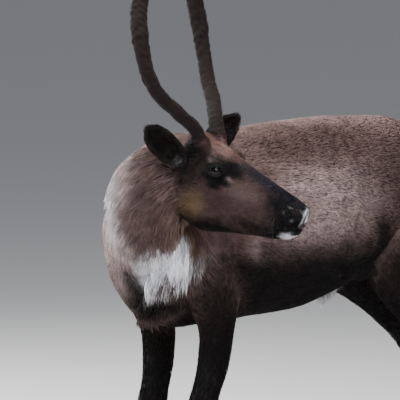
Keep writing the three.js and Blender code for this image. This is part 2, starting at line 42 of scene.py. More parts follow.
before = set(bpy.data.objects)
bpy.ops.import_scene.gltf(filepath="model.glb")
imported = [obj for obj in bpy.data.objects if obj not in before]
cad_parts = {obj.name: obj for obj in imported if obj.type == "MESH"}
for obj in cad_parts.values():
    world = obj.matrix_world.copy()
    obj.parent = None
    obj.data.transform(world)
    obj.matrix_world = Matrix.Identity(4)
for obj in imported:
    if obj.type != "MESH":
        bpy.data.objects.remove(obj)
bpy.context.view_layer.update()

MM = 0.001
MOVE = np.array([-167.0, 38.0, 0.0])
UP, AHEAD = np.array([0.0, 0.0, 1.0]), np.array([0.0, -1.0, 0.0])
SIDES = {"left": 1, "right": -1}
SPINE_Z = 830
BEND_FROM_Y, BEND_RADIUS = -120, 2700
HEAD_AT = np.array([276.0, -578.0, 998.0])
HEAD_HEADING, HEAD_PITCH, HEAD_ROLL = 18, 24, 8
EYE_AT, EYE_GAZE = np.array([44.0, 52.0, 43.0]), np.array([0.4, 1.0, 0.12])
EYE_BALL, EYE_SOCKET = 20.5, 23
LID_HALF, LID_RISE, LID_FALL = 20.5, 14.6, 11.4
PEDICLE_AT = np.array([-14.0, 46.0, 80.0])
BEAM_RADIUS, BEAM_FLAT, ANTLER_LEAN = 21, 0.84, 0.035
PEDICLE_RADIUS = 23
# How far the right hind foot stands behind the left one, and each forefoot from their middle
STEP_BACK, FORE_STAGGER = 100, 8

# Sections: x, y, z, half width, reach above, reach below, then how square and how keeled
ROUND = (2.2, 0.0)
TRUNK = [(0, y, SPINE_Z, *reach) for y, *reach in (
    (-585, 55, 30, 90), (-548, 104, 95, 172), (-480, 140, 180, 240), (-390, 166, 246, 266),
    (-270, 188, 250, 266), (-120, 212, 252, 260), (40, 228, 262, 254), (180, 222, 269, 222),
    (320, 204, 268, 166), (440, 182, 262, 118), (550, 146, 234, 72), (626, 92, 165, 30))]
SHOULDER = [
    (66, -385, 1030, 28, 45, 60), (106, -400, 940, 40, 75, 92), (124, -420, 840, 50, 78, 108),
    (125, -425, 755, 54, 66, 112), (122, -400, 685, 50, 54, 95)]
FORELEG = [
    (120, -418, 765, 44, 60, 94), (123, -385, 690, 51, 76, 104), (118, -345, 620, 47, 66, 86),
    (110, -326, 545, 41, 50, 56), (103, -332, 460, 39, 45, 47), (97, -350, 395, 37, 40, 40),
    (95, -360, 355, 39, 45, 37), (94, -362, 308, 31, 34, 34), (94, -364, 225, 27, 28, 31),
    (95, -364, 150, 29, 30, 37), (96, -374, 104, 31, 32, 37), (97, -390, 64, 35, 35, 36)]
HIP = [(78, 350, 1010, 52, 80, 105), (104, 398, 925, 84, 124, 142), (118, 408, 830, 88, 138, 152)]
HINDLEG = [
    (106, 412, 880, 74, 112, 126), (130, 410, 780, 82, 128, 142), (146, 405, 690, 72, 124, 122),
    (147, 428, 620, 56, 90, 94), (141, 474, 552, 45, 60, 68), (133, 526, 486, 38, 47, 55),
    (129, 556, 442, 37, 43, 48), (127, 573, 402, 36, 42, 42), (124, 576, 345, 31, 36, 37),
    (121, 568, 255, 27, 30, 33), (119, 558, 165, 29, 32, 38), (118, 550, 106, 31, 33, 38),
    (118, 532, 64, 35, 35, 36)]
FLANK_FOLD = [(172, 120, 690, 26, 40, 26), (158, 215, 690, 20, 44, 34), (150, 300, 705, 20, 50, 46)]
NECK = [
    (0, -430, 850, 132, 150, 190), (34, -517, 890, 116, 130, 172), (97, -583, 948, 98, 108, 142),
    (164, -606, 998, 84, 84, 120), (228, -594, 1018, 72, 74, 98)]
BIB = [
    (70, -545, 905, 105, 62, 100), (60, -538, 850, 128, 62, 110), (52, -530, 765, 126, 52, 110),
    (30, -516, 685, 88, 40, 90), (8, -500, 616, 26, 16, 40)]
SHEATH = [(0, 280, 670, 24, 24, 30), (0, 256, 632, 22, 22, 26), (0, 235, 588, 14, 14, 15)]
TAIL = [
    (0, 600, 985, 34, 18, 16), (0, 655, 945, 36, 20, 18), (0, 690, 880, 34, 17, 17),
    (0, 700, 820, 16, 9, 9)]
HEAD = [(x, 0, 0, *reach) for x, *reach in (
    (-82, 40, 58, 48), (-50, 62, 84, 100, 2.2, 0.1), (0, 69, 92, 141, 2.2, 0.25), (45, 64, 89, 145, 2.2, 0.3),
    (90, 54, 80, 130, 2.2, 0.3), (140, 46, 70, 109, 2.3, 0.3), (190, 41, 62, 92, 2.4, 0.25),
    (235, 40, 57, 78, 2.5, 0.25), (270, 39, 51, 64, 2.6, 0.3), (291, 35, 44, 47, 2.5, 0.3))]
EAR = [
    (-24, 0, 0, 20, 13, 17), (12, 0, 0, 25, 13, 22), (46, 0, -4, 33, 10, 24), (82, 0, -5, 35, 8, 21),
    (114, 0, 1, 29, 7, 14), (136, 0, 10, 14, 5, 7)]
EAR_CUP = [
    (14, 0, 16, 12, 20, 14), (46, 0, 12, 27, 30, 31), (82, 0, 12, 30, 30, 29), (113, 0, 16, 24, 30, 21),
    (131, 0, 24, 10, 26, 16)]
# An ear's foot in the head's frame, where it points and where its cup faces
EARS = {
    "left": ((-38, 50, 22), (56, 86, 100), (0.65, -0.75, 0.1)),
    "right": ((-46, -53, 21), (-82, -80, 100), (0.6, -0.8, 0)),
}
TOE = [
    (17, 16, 72, 14, 18, 16), (24, 2, 46, 20, 32, 30, 2.4), (27.5, -8, 20, 23, 46, 35, 2.5),
    (29, -14, -8, 25, 56, 38, 2.5)]
DEWCLAW = [(16, 46, 118, 11, 12, 9), (22, 60, 84, 12, 12, 10), (27, 68, 48, 11, 10, 9), (29, 70, 26, 6, 6, 6)]
# Back, out and up from an antler's foot: the beam, its stump on the skull and the tines
BEAM = [
    (-8, -14, -22), (0, 0, 0), (14, 20, 48), (45, 78, 98), (80, 126, 150), (98, 147, 200),
    (110, 152, 250), (118, 153, 300), (127, 140, 360), (120, 116, 430), (92, 95, 500)]
PEDICLE = [BEAM[0], BEAM[1], (6, 8, 19)]
TINES = [
    [(104, 102, 478), (52, 87, 540), (-22, 73, 600), (-84, 65, 640)],
    [(68, 89, 530), (74, 75, 590), (86, 59, 650), (92, 47, 694)]]


# Forms, drawn as the part draws them

def turn(axis, degrees):
    """A rotation matrix about x, y or z."""
    c, s = math.cos(math.radians(degrees)), math.sin(math.radians(degrees))
    i, j = {"x": (1, 2), "y": (2, 0), "z": (0, 1)}[axis]
    made = np.eye(3)
    made[i, i] = made[j, j] = c
    made[i, j], made[j, i] = -s, s
    return made


HEADING = turn("z", HEAD_HEADING)
TILT = turn("y", HEAD_PITCH) @ turn("x", HEAD_ROLL)
HEAD_TURN = HEADING @ TILT


def unit(vectors):
    """Vectors of length 1."""
    return vectors / np.maximum(np.linalg.norm(vectors, axis=-1, keepdims=True), 1e-12)


def from_head(points):
    """From the head's frame to the animal's."""
    return np.asarray(points, float) @ HEAD_TURN.T + HEAD_AT


def to_head(points):
    """From the animal's frame to the head's."""
    return (np.asarray(points, float) - HEAD_AT) @ HEAD_TURN


def to_half_head(points):
    """From the animal's frame to the head's, with its right side folded onto its left."""
    q = to_head(points)
    q[:, 1] = np.abs(q[:, 1])
    return q


def from_level_head(points):
    """From the head's frame before it is tilted, which carries ears and antlers."""
    return np.asarray(points, float) @ HEADING.T + HEAD_AT


def bend(points):
    """The trunk and hind legs are drawn straight, then bent to the left behind BEND_FROM_Y."""
    x, y, z = np.moveaxis(points, -1, 0)
    angle = np.maximum(y - BEND_FROM_Y, 0) / BEND_RADIUS
    to_centre = BEND_RADIUS - x
    bent_y = np.where(angle > 0, BEND_FROM_Y + to_centre * np.sin(angle), y)
    return np.stack([BEND_RADIUS - to_centre * np.cos(angle), bent_y, z], axis=-1)


def ease(low, high, value):
    """0 below low, 1 above high and smooth between."""
    share = np.clip((np.asarray(value, float) - low) / (high - low), 0, 1)
    return share * share * (3 - 2 * share)


def between(low, high, soft, value):
    """1 between two borders that are each that soft, and 0 outside them."""
    return ease(low - soft, low + soft, value) * (1 - ease(high - soft, high + soft, value))


def away_from(points, centre, radii=1.0):
    """The distance from a centre, counted in an ellipsoid's radii."""
    return np.linalg.norm((points - np.asarray(centre, float)) / radii, axis=-1)


def ripple(points, length, seed, count=9):
    """A smooth repeatable scatter about 0, with waves of that many millimetres."""
    draw = np.random.default_rng(seed)
    waves = unit(draw.normal(size=(count, 3))) * (2 * math.pi / length) * draw.uniform(0.6, 1.5, (count, 1))
    return np.sin(points @ waves.T + draw.uniform(0, 2 * math.pi, count)).sum(1) / math.sqrt(count / 2)


def smooth_line(rows, t):
    """Places 0 to 1 along a smooth line through the rows."""
    rows = np.asarray(rows, float)
    last = len(rows) - 1
    place = np.clip(np.asarray(t, float), 0, 1) * last
    k = np.minimum(place.astype(int), last - 1)
    w = (place - k)[..., None]
    padded = np.vstack([2 * rows[0] - rows[1], rows, 2 * rows[-1] - rows[-2]])
    p0, p1, p2, p3 = (padded[k + i] for i in range(4))
    pairs = (p0, p1), (p1, p2), (p2, p3)
    d0, d1, d2 = (np.sqrt(np.linalg.norm(b - a, axis=-1, keepdims=True)) for a, b in pairs)
    d1 = np.where(d1 < 1e-4, 1, d1)
    d0, d2 = (np.where(d < 1e-4, d1, d) for d in (d0, d2))
    m1 = ((p1 - p0) / d0 - (p2 - p0) / (d0 + d1) + (p2 - p1) / d1) * d1
    m2 = ((p2 - p1) / d1 - (p3 - p1) / (d1 + d2) + (p3 - p2) / d2) * d1
    return p1 + m1 * w + (3 * (p2 - p1) - 2 * m1 - m2) * w ** 2 + (2 * (p1 - p2) + m1 + m2) * w ** 3


def lathe(count, around):
    """The faces of that many rings of points, with one more point to close each end."""
    ring = np.arange(around)
    after = (ring + 1) % around
    end, tip = (count - 1) * around, count * around
    bands = [[k + ring, k + around + ring, k + around + after, k + after] for k in range(0, end, around)]
    bands += [[np.full(around, tip), ring, after], [np.full(around, tip + 1), end + after, end + ring]]
    return [face for band in bands for face in np.stack(band, 1).tolist()]


class Form:
    """A body form drawn by sections along a smooth line.

    grow is added to it all round, and place takes it from its own frame to the animal's.
    """

    def __init__(self, sections, up=UP, grow=0.0, place=lambda points: points):
        rows = np.array([(*s, *ROUND[len(s) - 6:]) for s in sections], float)
        self.centres, self.reach, self.shape = rows[:, :3], rows[:, 3:6], rows[:, 6:]
        self.up, self.grow, self.place = up, grow, place

    def skin(self, t, angle, scale=1.0, shift=0.0):
        """The point of the surface at a place along the form and an angle around it."""
        t, angle = np.broadcast_arrays(np.asarray(t, float), np.asarray(angle, float))
        along = unit(smooth_line(self.centres, t + 1e-4) - smooth_line(self.centres, t - 1e-4))
        across = unit(np.cross(along, self.up))
        side, top, under = np.moveaxis(smooth_line(self.reach, t), -1, 0) + self.grow
        square, keel = np.moveaxis(smooth_line(self.shape, t), -1, 0)
        c, s = np.cos(angle), np.sin(angle)
        wide = np.sign(c) * np.abs(c) ** (2 / square)
        high = np.sign(s) * np.abs(s) ** (2 / square)
        wide = wide * np.where(high < 0, 1 + keel * high, 1) * side * scale
        high = high * np.where(high > 0, top, under) * scale
        return self.place(smooth_line(self.centres, t) + along * shift + across * wide[..., None]
                          + np.cross(across, along) * high[..., None])

    def tube(self, around=32, steps=30, head=0.0, tail=0.0):
        """A closed tube with rounded ends of the lengths head and tail: points and faces."""
        angles = np.arange(around) * 2 * math.pi / around
        cap = np.linspace(0, math.pi / 2, max(3, around // 6) + 1)[1:-1]
        rows = [self.skin(i / steps, angles) for i in range(steps + 1)]
        tips = []
        for place, length in ((0.0, head), (1.0, tail)):
            far = max(length + self.grow, 0) * (1 if place else -1) if length else 0
            ends = [self.skin(place, angles, math.cos(a), math.sin(a) * far) for a in cap] if far else []
            rows = rows + ends if place else ends[::-1] + rows
            tips.append(self.skin(place, 0.0, 0, far)[None])
        return np.vstack(rows + tips), lathe(len(rows), around)


def limb(side, sections, grow=0.0):
    """A leg's form on one side. The fore and hind feet stand a little apart fore and aft."""
    placed = []
    for x, y, z, *rest in sections:
        down = float(ease(0, 260, 860 - z))
        step = -FORE_STAGGER * side * down if y < 0 else (STEP_BACK * down if side < 0 else 0)
        placed.append((x * side, y + step, z, *rest))
    return Form(placed, up=AHEAD, grow=grow, place=bend)


def ear_place(name):
    """Takes an ear's own frame (+X to the tip, +Z out of the cup) to the animal's."""
    at, to, facing = EARS[name]
    along = unit(np.array(to, float))
    out = unit(np.array(facing, float) - along * np.dot(facing, along))
    axes = np.stack([along, np.cross(out, along), out])
    return lambda points: from_level_head(np.asarray(points) @ axes + TILT @ np.array(at, float))


def antler_form(side, points, girth, grow=0.0):
    """An antler's beam or tine along a list of back, out and up places."""
    foot = TILT @ (PEDICLE_AT * [1, side, 1])
    rows = []
    for i, (back, out, high) in enumerate(points):
        radius = BEAM_RADIUS * girth(i / (len(points) - 1))
        rows.append((foot[0] - back, foot[1] + out * side + ANTLER_LEAN * high, foot[2] + high,
                     radius * BEAM_FLAT, radius, radius * 0.97, 2.0))
    return Form(rows, up=np.array([1.0, 0, 0]), grow=grow, place=from_level_head)


def globe(rings, around):
    """A ball of radius 1, the poles last: points, faces and each point's angle from +Z."""
    angle = np.repeat(np.linspace(0, math.pi, rings + 1)[1:-1], around)
    lon = np.tile(np.arange(around) * 2 * math.pi / around, rings - 1)
    points = np.stack([np.sin(angle) * np.cos(lon), np.sin(angle) * np.sin(lon), np.cos(angle)], 1)
    return np.vstack([points, [UP, -UP]]), lathe(rings - 1, around), np.r_[angle, 0, math.pi]


def lump(centre, radii, pitch=0.0):
    """An ellipsoid of flesh on the head: points and faces."""
    points, faces, _ = globe(12, 24)
    return from_head((points * radii) @ turn("y", pitch).T + centre), faces


# Meshes

def new_mesh(name, points, faces):
    """A linked object from points in the animal's millimetres and a list or array of faces."""
    mesh = bpy.data.meshes.new(name)
    scaled = (np.asarray(points, float) + MOVE) * MM
    if isinstance(faces, np.ndarray):
        mesh.vertices.add(len(scaled))
        mesh.vertices.foreach_set("co", scaled.astype(np.float32).ravel())
        mesh.loops.add(faces.size)
        mesh.loops.foreach_set("vertex_index", faces.astype(np.int32).ravel())
        mesh.polygons.add(len(faces))
        mesh.polygons.foreach_set("loop_start", np.arange(0, faces.size, faces.shape[1], dtype=np.int32))
        mesh.update(calc_edges=True)
    else:
        mesh.from_pydata(scaled.tolist(), [], faces)
    mesh.polygons.foreach_set("use_smooth", np.ones(len(mesh.polygons), bool))
    made = bpy.data.objects.new(name, mesh)
    bpy.context.scene.collection.objects.link(made)
    return made


def joined(parts):
    """Several lists of points and faces as one."""
    points, faces, start = [], [], 0
    for some, its in parts:
        points.append(some)
        faces += [[i + start for i in face] for face in its]
        start += len(some)
    return np.vstack(points), faces


def baked(obj):
    """Applies an object's modifiers."""
    graph = bpy.context.evaluated_depsgraph_get()
    made = bpy.data.meshes.new_from_object(obj.evaluated_get(graph))
    obj.modifiers.clear()
    old, obj.data = obj.data, made
    bpy.data.meshes.remove(old)
    return obj


def changed(obj, kind, **settings):
    """Applies a modifier of that kind with those settings."""
    change = obj.modifiers.new(kind, kind)
    for name, value in settings.items():
        setattr(change, name, value)
    return baked(obj)


def remeshed(obj, cell):
    """One closed surface round an object's overlapping shells, with cells of that many millimetres."""
    return changed(obj, "REMESH", mode="VOXEL", voxel_size=cell * MM)


def combined(obj, other, operation):
    """The union or difference of two closed objects. The other one is removed."""
    changed(obj, "BOOLEAN", operation=operation, solver="MANIFOLD", object=other)
    bpy.data.objects.remove(other)
    return obj


def outward(obj):
    """Turns the faces of closed shells outwards."""
    shell = bmesh.new()
    shell.from_mesh(obj.data)
    bmesh.ops.recalc_face_normals(shell, faces=shell.faces)
    shell.to_mesh(obj.data)
    shell.free()
    return obj


def read(items, field, width, kind=np.float32):
    """One field of every item of a collection, as rows of that width."""
    flat = np.empty(len(items) * width, kind)
    items.foreach_get(field, flat)
    return flat.reshape(-1, width)


def points_of(obj):
    """An object's points in the animal's millimetres."""
    return read(obj.data.vertices, "co", 3).astype(float) / MM - MOVE


def triangles_of(obj):
    """An object's triangles as rows of three indices."""
    obj.data.calc_loop_triangles()
    return read(obj.data.loop_triangles, "vertices", 3, np.int32).astype(np.int64)


def put(obj, **fields):
    """Stores values on an object's points under those names."""
    for name, values in fields.items():
        kind, field = ("FLOAT_VECTOR", "vector") if np.ndim(values) == 2 else ("FLOAT", "value")
        made = obj.data.attributes.new(name, kind, "POINT")
        made.data.foreach_set(field, np.ascontiguousarray(values, np.float32).ravel())


def got(obj, name):
    """Values stored on an object's points."""
    stored = obj.data.attributes[name]
    if stored.data_type == "FLOAT_VECTOR":
        return read(stored.data, "vector", 3).astype(float)
    return read(stored.data, "value", 1)[:, 0].astype(float)


def edges_of(faces):
    """The edges of triangles without repeats, and each triangle's three edge numbers."""
    pairs = np.sort(faces[:, [0, 1, 1, 2, 2, 0]].reshape(-1, 2), axis=1)
    keys = pairs[:, 0] * (faces.max() + 1) + pairs[:, 1]
    _, first, back = np.unique(keys, return_index=True, return_inverse=True)
    return pairs[first], back.reshape(-1, 3)


# The step back that gives a smoothed shape its volume again
VOLUME_STEP = -1.04


def relaxed(values, edges, rounds, share, keep=False):
    """Draws rows of values to their neighbours' mean by a share, one for all or one a row.

    keep lets every second round step back, so that a shape holds its volume.
    """
    share = np.broadcast_to(share, (len(values),))[:, None]
    near, far = edges.T
    size = len(values)
    count = np.maximum(np.bincount(edges.ravel(), minlength=size), 1)[:, None]
    for i in range(rounds * (2 if keep else 1)):
        total = [np.bincount(near, row[far], size) + np.bincount(far, row[near], size) for row in values.T]
        step = VOLUME_STEP if keep and i % 2 else 1.0
        values = values + step * share * (np.stack(total, 1) / count - values)
    return values


def refined(points, faces, wanted):
    """Splits every edge that is longer than what wanted(points) asks there, and the triangles with it."""
    edges, of_face = edges_of(faces)
    middle = points[edges].mean(1)
    split = np.linalg.norm(points[edges[:, 0]] - points[edges[:, 1]], axis=1) > wanted(middle)
    m = np.where(split, len(points) + np.cumsum(split) - 1, -1)[of_face]
    cuts = (m >= 0).sum(1)

    def rolled(rows, first):
        order = (first[:, None] + np.arange(3)) % 3
        return (*np.take_along_axis(faces[rows], order, 1).T, *np.take_along_axis(m[rows], order, 1).T)

    one, two, three = (np.flatnonzero(cuts == k) for k in (1, 2, 3))
    made = [faces[cuts == 0]]
    a, b, c, n, _, _ = rolled(one, np.argmax(m[one] >= 0, 1))
    made += [np.stack(q, 1) for q in ((a, n, c), (n, b, c))]
    a, b, c, n, o, _ = rolled(two, (np.argmin(m[two] >= 0, 1) + 1) % 3)
    made += [np.stack(q, 1) for q in ((n, b, o), (a, n, c), (n, o, c))]
    a, b, c, n, o, p = rolled(three, np.zeros(len(three), int))
    made += [np.stack(q, 1) for q in ((a, n, p), (n, b, o), (o, c, p), (n, o, p))]
    return np.vstack([points, middle[split]]), np.vstack(made)


def without_fins(faces):
    """Triangles without the pairs that lie back to back on the same three corners."""
    _, same, times = np.unique(np.sort(faces, 1), axis=0, return_inverse=True, return_counts=True)
    return faces[times[same.ravel()] == 1]


def normals_at(points, faces):
    """The normal at each point of a triangle mesh."""
    a, b, c = (points[faces[:, i]] for i in range(3))
    flat = np.repeat(np.cross(b - a, c - a), 3, axis=0)
    return unit(np.stack([np.bincount(faces.ravel(), column, len(points)) for column in flat.T], 1))


# The skin

# How far the skin lies inside the part's surface, by form
COAT_DEPTH = {"trunk": 3.5, "neck": 11, "bib": 26, "leg": 3.5, "head": 2.5, "tail": 9, "sheath": 3.5}
SKIN_CELL, EAR_CELL = 7.6, 2.2
# Edge lengths of the skin's triangles, those of lids and eye sockets out to a distance from the eye's centre
HEAD_EDGE, MUZZLE_EDGE, LID_EDGE, ORBIT_EDGE = 6.4, 3.2, 2.3, 3.6
LID_AWAY, ORBIT_AWAY = 34, 48
# How far from the eye's centre the lids' opening may reach, and from where on the skin is drawn to the lids
OPENING_HALF, LIDS_FROM = 26, 46


def flesh():
    """Every form of flesh but the ears, as closed tubes and lumps that overlap."""
    trunk, neck, bib, leg, head, tail, sheath = COAT_DEPTH.values()
    parts = [
        Form(TRUNK, grow=-trunk, place=bend).tube(56, 50, 35, 30),
        Form(NECK, grow=-neck).tube(40, 24),
        Form(BIB, up=AHEAD, grow=-bib).tube(36, 20),
        Form(SHEATH, up=AHEAD, grow=-sheath, place=bend).tube(16, 10, 0, 8),
        Form(TAIL, up=AHEAD, grow=-tail, place=bend).tube(20, 14, 0, 9),
        Form(HEAD, grow=-head, place=from_head).tube(40, 44, 25, 15),
    ]
    lumps = [((-34, 0, 70), (38, 52, 32), 0), ((250, 0, -51), (42, 26, 19), -14)]
    for side in SIDES.values():
        fold = [(x * side, *rest) for x, *rest in FLANK_FOLD]
        parts += [
            limb(side, SHOULDER, -trunk).tube(24, 16, 30, 30),
            limb(side, HIP, -trunk).tube(28, 14, 40, 40),
            limb(side, FORELEG, -leg).tube(28, 60, 30, 0),
            limb(side, HINDLEG, -leg).tube(28, 60, 50, 0),
            Form(fold, grow=-trunk, place=bend).tube(20, 14, 30, 20),
            antler_form(side, PEDICLE, lambda t: PEDICLE_RADIUS / BEAM_RADIUS).tube(24, 8, 0, 6),
            lump(EYE_AT * [1, side, 1], EYE_SOCKET),
        ]
        lumps += [((EYE_AT[0] - 5, 42 * side, EYE_AT[2] + 6), (40, 28, 34), 0),
                  ((26, 28 * side, -54), (70, 28, 60), 0), ((279, 22 * side, 16), (27, 18, 26), 0)]
    return joined(parts + [lump(centre, np.array(radii) - head, pitch) for centre, radii, pitch in lumps])


def make_ear(name):
    """A thin cupped ear."""
    place = ear_place(name)
    shell = outward(new_mesh("ear shell", *Form(EAR, place=place).tube(36, 40, 5, 7)))
    cup = outward(new_mesh("ear cup", *Form(EAR_CUP, place=place).tube(32, 36, 8, 6)))
    return remeshed(combined(shell, cup, "DIFFERENCE"), EAR_CELL)


def eye_frame(side):
    """The eye's centre in the head's frame and its axes as rows: back or ahead, up, out along the gaze."""
    out = unit(EYE_GAZE)
    rise = unit(UP - out * out[2])
    return EYE_AT * [1, side, 1], np.stack([np.cross(rise, out), rise, out]) * [1, side, 1]


def lid_edges(u):
    """How high the upper and the lower lid's edge stand at places across the eye."""
    arch = 1 - np.clip(np.abs(u) / LID_HALF, 0, 1.3) ** 2.2
    middle = 0.5 - 0.2 * u
    return middle + LID_RISE * arch, middle - LID_FALL * arch


def opening(u, v):
    """How far inside the lids' opening a place in front of the eye is, negative outside it."""
    upper, lower = lid_edges(u)
    return np.where(np.abs(u) < OPENING_HALF, np.minimum(upper - v, v - lower), -9.0)


def fineness(points):
    """The edge length that a place on the skin needs."""
    q = to_half_head(points)
    eye = away_from(q, EYE_AT)
    wanted = np.where(away_from(q, (110, 0, 0), (230, 130, 150)) < 1, HEAD_EDGE, 1e6)
    wanted = np.where(away_from(q, (285, 0, -15), (70, 60, 75)) < 1, MUZZLE_EDGE, wanted)
    return np.where(eye < LID_AWAY, LID_EDGE, np.where(eye < ORBIT_AWAY, ORBIT_EDGE, wanted))


# Centre, radii and height of each soft swelling or hollow of the head
SWELLINGS = [
    # Brow, hollow of the gland ahead of the eye, fold under the eye
    ((38, 46, 80), (30, 16, 12), 3.5), ((80, 50, 27), (12, 14, 7), -5.0), ((96, 42, 52), (28, 14, 14), -3.0),
    ((60, 58, -6), (34, 14, 6), 1.4),
    # Cheekbone's ridge and jaw muscle
    ((116, 44, 2), (46, 14, 9), 2.4), ((140, 40, -44), (34, 18, 16), -2.4),
    ((14, 60, -30), (26, 16, 30), 2.5), ((-36, 60, -20), (14, 18, 60), -4.0),
    # Bridge of the nose, pad of the upper lip, groove between the nostrils
    ((190, 0, 62), (60, 16, 12), 1.5), ((150, 30, 48), (60, 9, 12), -1.6), ((262, 34, -6), (24, 14, 26), 2.5),
    ((236, 36, -30), (16, 12, 10), -1.5), ((318, 0, 2), (14, 5, 34), -2.6),
    # Nostril and its wing
    ((275, 38, 12), (7, 12, 6), -10.0), ((266, 40, 20), (7, 12, 6), -11.0), ((258, 40, 28), (7, 12, 6), -6.0),
    ((272, 36, 29), (13, 10, 5), 2.6), ((254, 40, 14), (7, 10, 9), 1.8),
]
MOUTH_LINE = (204, 240, 280, 330), (-60, -45, -25, -4)


def sculpt_head(points, normals):
    """Brow, cheek, jaw, nostrils and lips on the head's skin."""
    q = to_half_head(points)
    rise = sum(height * np.exp(-away_from(q, centre, radii) ** 2) for centre, radii, height in SWELLINGS)
    off = q[:, 2] - np.interp(q[:, 0], *MOUTH_LINE)
    lips = 1.8 * np.exp(-((off - 7) / 5) ** 2) + 1.2 * np.exp(-((off + 7) / 5) ** 2)
    rise += ease(206, 222, q[:, 0]) * (lips - 5.0 * np.exp(-(off / 2.4) ** 2))
    return points + normals * rise[:, None]


def sculpt_eyes(points):
    """Lids that close over each eyeball, with their opening, rim and creases."""
    q = to_head(points)
    for side in SIDES.values():
        centre, axes = eye_frame(side)
        local = (q - centre) @ axes.T
        u, v, out = local.T
        away = np.linalg.norm(local, axis=1)
        near = (away < LIDS_FROM) & (out > -8)
        inside = opening(u, v)
        lid = EYE_BALL + 2.3 + 1.1 * np.exp(-((inside + 1.6) / 1.3) ** 2)
        crease = 1.6 * np.exp(-((inside + 7.5) / 1.9) ** 2) + 1.0 * np.exp(-((inside + 12.5) / 2.0) ** 2)
        over = np.maximum(away, lid) - crease * ease(24, 20, away - 6)
        hole = ease(-0.5, 0.7, inside) * (out > 0)
        wanted = over * (1 - hole) + (EYE_BALL - 2.6) * hole
        share = np.where(near & (hole > 0), 1.0, np.where(near, ease(LIDS_FROM, 30, away), 0))
        local = local * (1 + share * (wanted / np.maximum(away, 1) - 1))[:, None]
        q = np.where(near[:, None], local @ axes + centre, q)
    return from_head(q)


def make_skin():
    """One closed skin over trunk, neck, head, ears and legs."""
    body = remeshed(new_mesh("skin", *flesh()), SKIN_CELL)
    points, faces = points_of(body), triangles_of(body)
    bpy.data.objects.remove(body)
    edges, _ = edges_of(faces)
    points = relaxed(points, edges, 10, 0.5, keep=True)
    trunk_share = ease(560, 720, points[:, 2]) * (1 - ease(-0.2, 0.1, (to_head(points)[:, 0] + 60) / 200))
    body = new_mesh("skin", relaxed(points, edges, 30, 0.5 * trunk_share), faces)
    for name in SIDES:
        combined(body, make_ear(name), "UNION")
    points, faces = points_of(body), without_fins(triangles_of(body))
    bpy.data.objects.remove(body)
    for _ in range(4):
        points, faces = refined(points, faces, fineness)
        on_head = away_from(to_head(points), (110, 0, 0), (240, 110, 150)) < 1
        points = relaxed(points, edges_of(faces)[0], 3, 0.5 * on_head, keep=True)
    points = sculpt_eyes(sculpt_head(points, normals_at(points, faces)))
    return new_mesh("skin", points, faces)


# How the coat lies, how long it is and its markings

# Hair by form: length, width, how far it stands off the skin, and 1 if it lies along the form, -1 against
HAIR = {
    "trunk": (44, 2.1, 3.2, 1), "neck": (62, 2.4, 10, -1), "bib": (84, 3.0, 18, 1),
    "head": (12, 1.3, 2.0, -1), "ear": (15, 1.3, 2.0, 1), "foreleg": (22, 2.0, 2.4, 1),
    "hindleg": (25, 2.2, 2.8, 1), "sheath": (17, 2.4, 5, 1), "tail": (62, 3.6, 12, 1),
}
# Tuft pieces: number of triangles, rings of a tuft between root and tip, and seed
TUFTS = {
    "coat_chest": (168000, 1, 100), "coat_ribs": (168000, 1, 101), "coat_flanks": (168000, 1, 102),
    "coat_rump": (168000, 1, 103), "coat_forelegs": (85000, 1, 200), "coat_hindlegs": (85000, 1, 201),
    "coat_neck": (180000, 2, 300), "mane": (120000, 3, 301), "coat_tail": (24000, 3, 302),
    "coat_head": (190000, 1, 400), "coat_ears": (45000, 1, 401),
    "velvet_down_left": (48000, 1, 500), "velvet_down_right": (48000, 1, 501),
}
# The trunk's coat pieces from front to rear, where each ends and how soft that border is
TRUNK_PIECES = ("coat_chest", "coat_ribs", "coat_flanks", "coat_rump")
TRUNK_BORDERS, BORDER_SOFT = (-900, -260, -20, 210, 900), 8
# Hair that hangs in locks: their number, how far the tips gather, which way they fall and their own shade
LOCKS = {
    "coat_neck": (1100, 0.5, (-0.05, -0.05, -0.35), 2.2),
    "mane": (260, 0.62, (-0.25, -0.1, -0.9), 0.8),
}
# A face tuft's length times its width in square millimetres. Smaller ones stand closer
FACE_TUFT = 15.6
# How far tufts differ by chance: lengths, widths and lifts between two shares, the rest by a deviation
LENGTHS, WIDTHS, LIFTS = (0.75, 1.25), (0.7, 1.3), (0.7, 1.2)
SWING, CURL, TONE = 0.10, 0.05, 0.35


def guides():
    """Places inside the forms: the form's kind, centre, the ways along, across and up, the reach below."""
    forms = [
        ("trunk", Form(TRUNK, place=bend), 26), ("neck", Form(NECK), 14), ("bib", Form(BIB, up=AHEAD), 12),
        ("head", Form(HEAD, place=from_head), 20), ("sheath", Form(SHEATH, up=AHEAD, place=bend), 5),
        ("tail", Form(TAIL, up=AHEAD, place=bend), 8)]
    for name, side in SIDES.items():
        forms += [("foreleg", limb(side, FORELEG), 22), ("hindleg", limb(side, HINDLEG), 24),
                  ("ear", Form(EAR, place=ear_place(name)), 9)]
    for kind, form, count in forms:
        t = np.linspace(0, 1, count)
        centre = form.skin(t, 0.0, 0.0)
        along = unit(form.skin(t + 0.01, 0.0, 0.0) - form.skin(t - 0.01, 0.0, 0.0))
        across, up, under = (form.skin(t, angle) - centre for angle in (0.0, math.pi / 2, -math.pi / 2))
        yield from zip([kind] * count, centre, along, across, up, np.linalg.norm(under, axis=1))


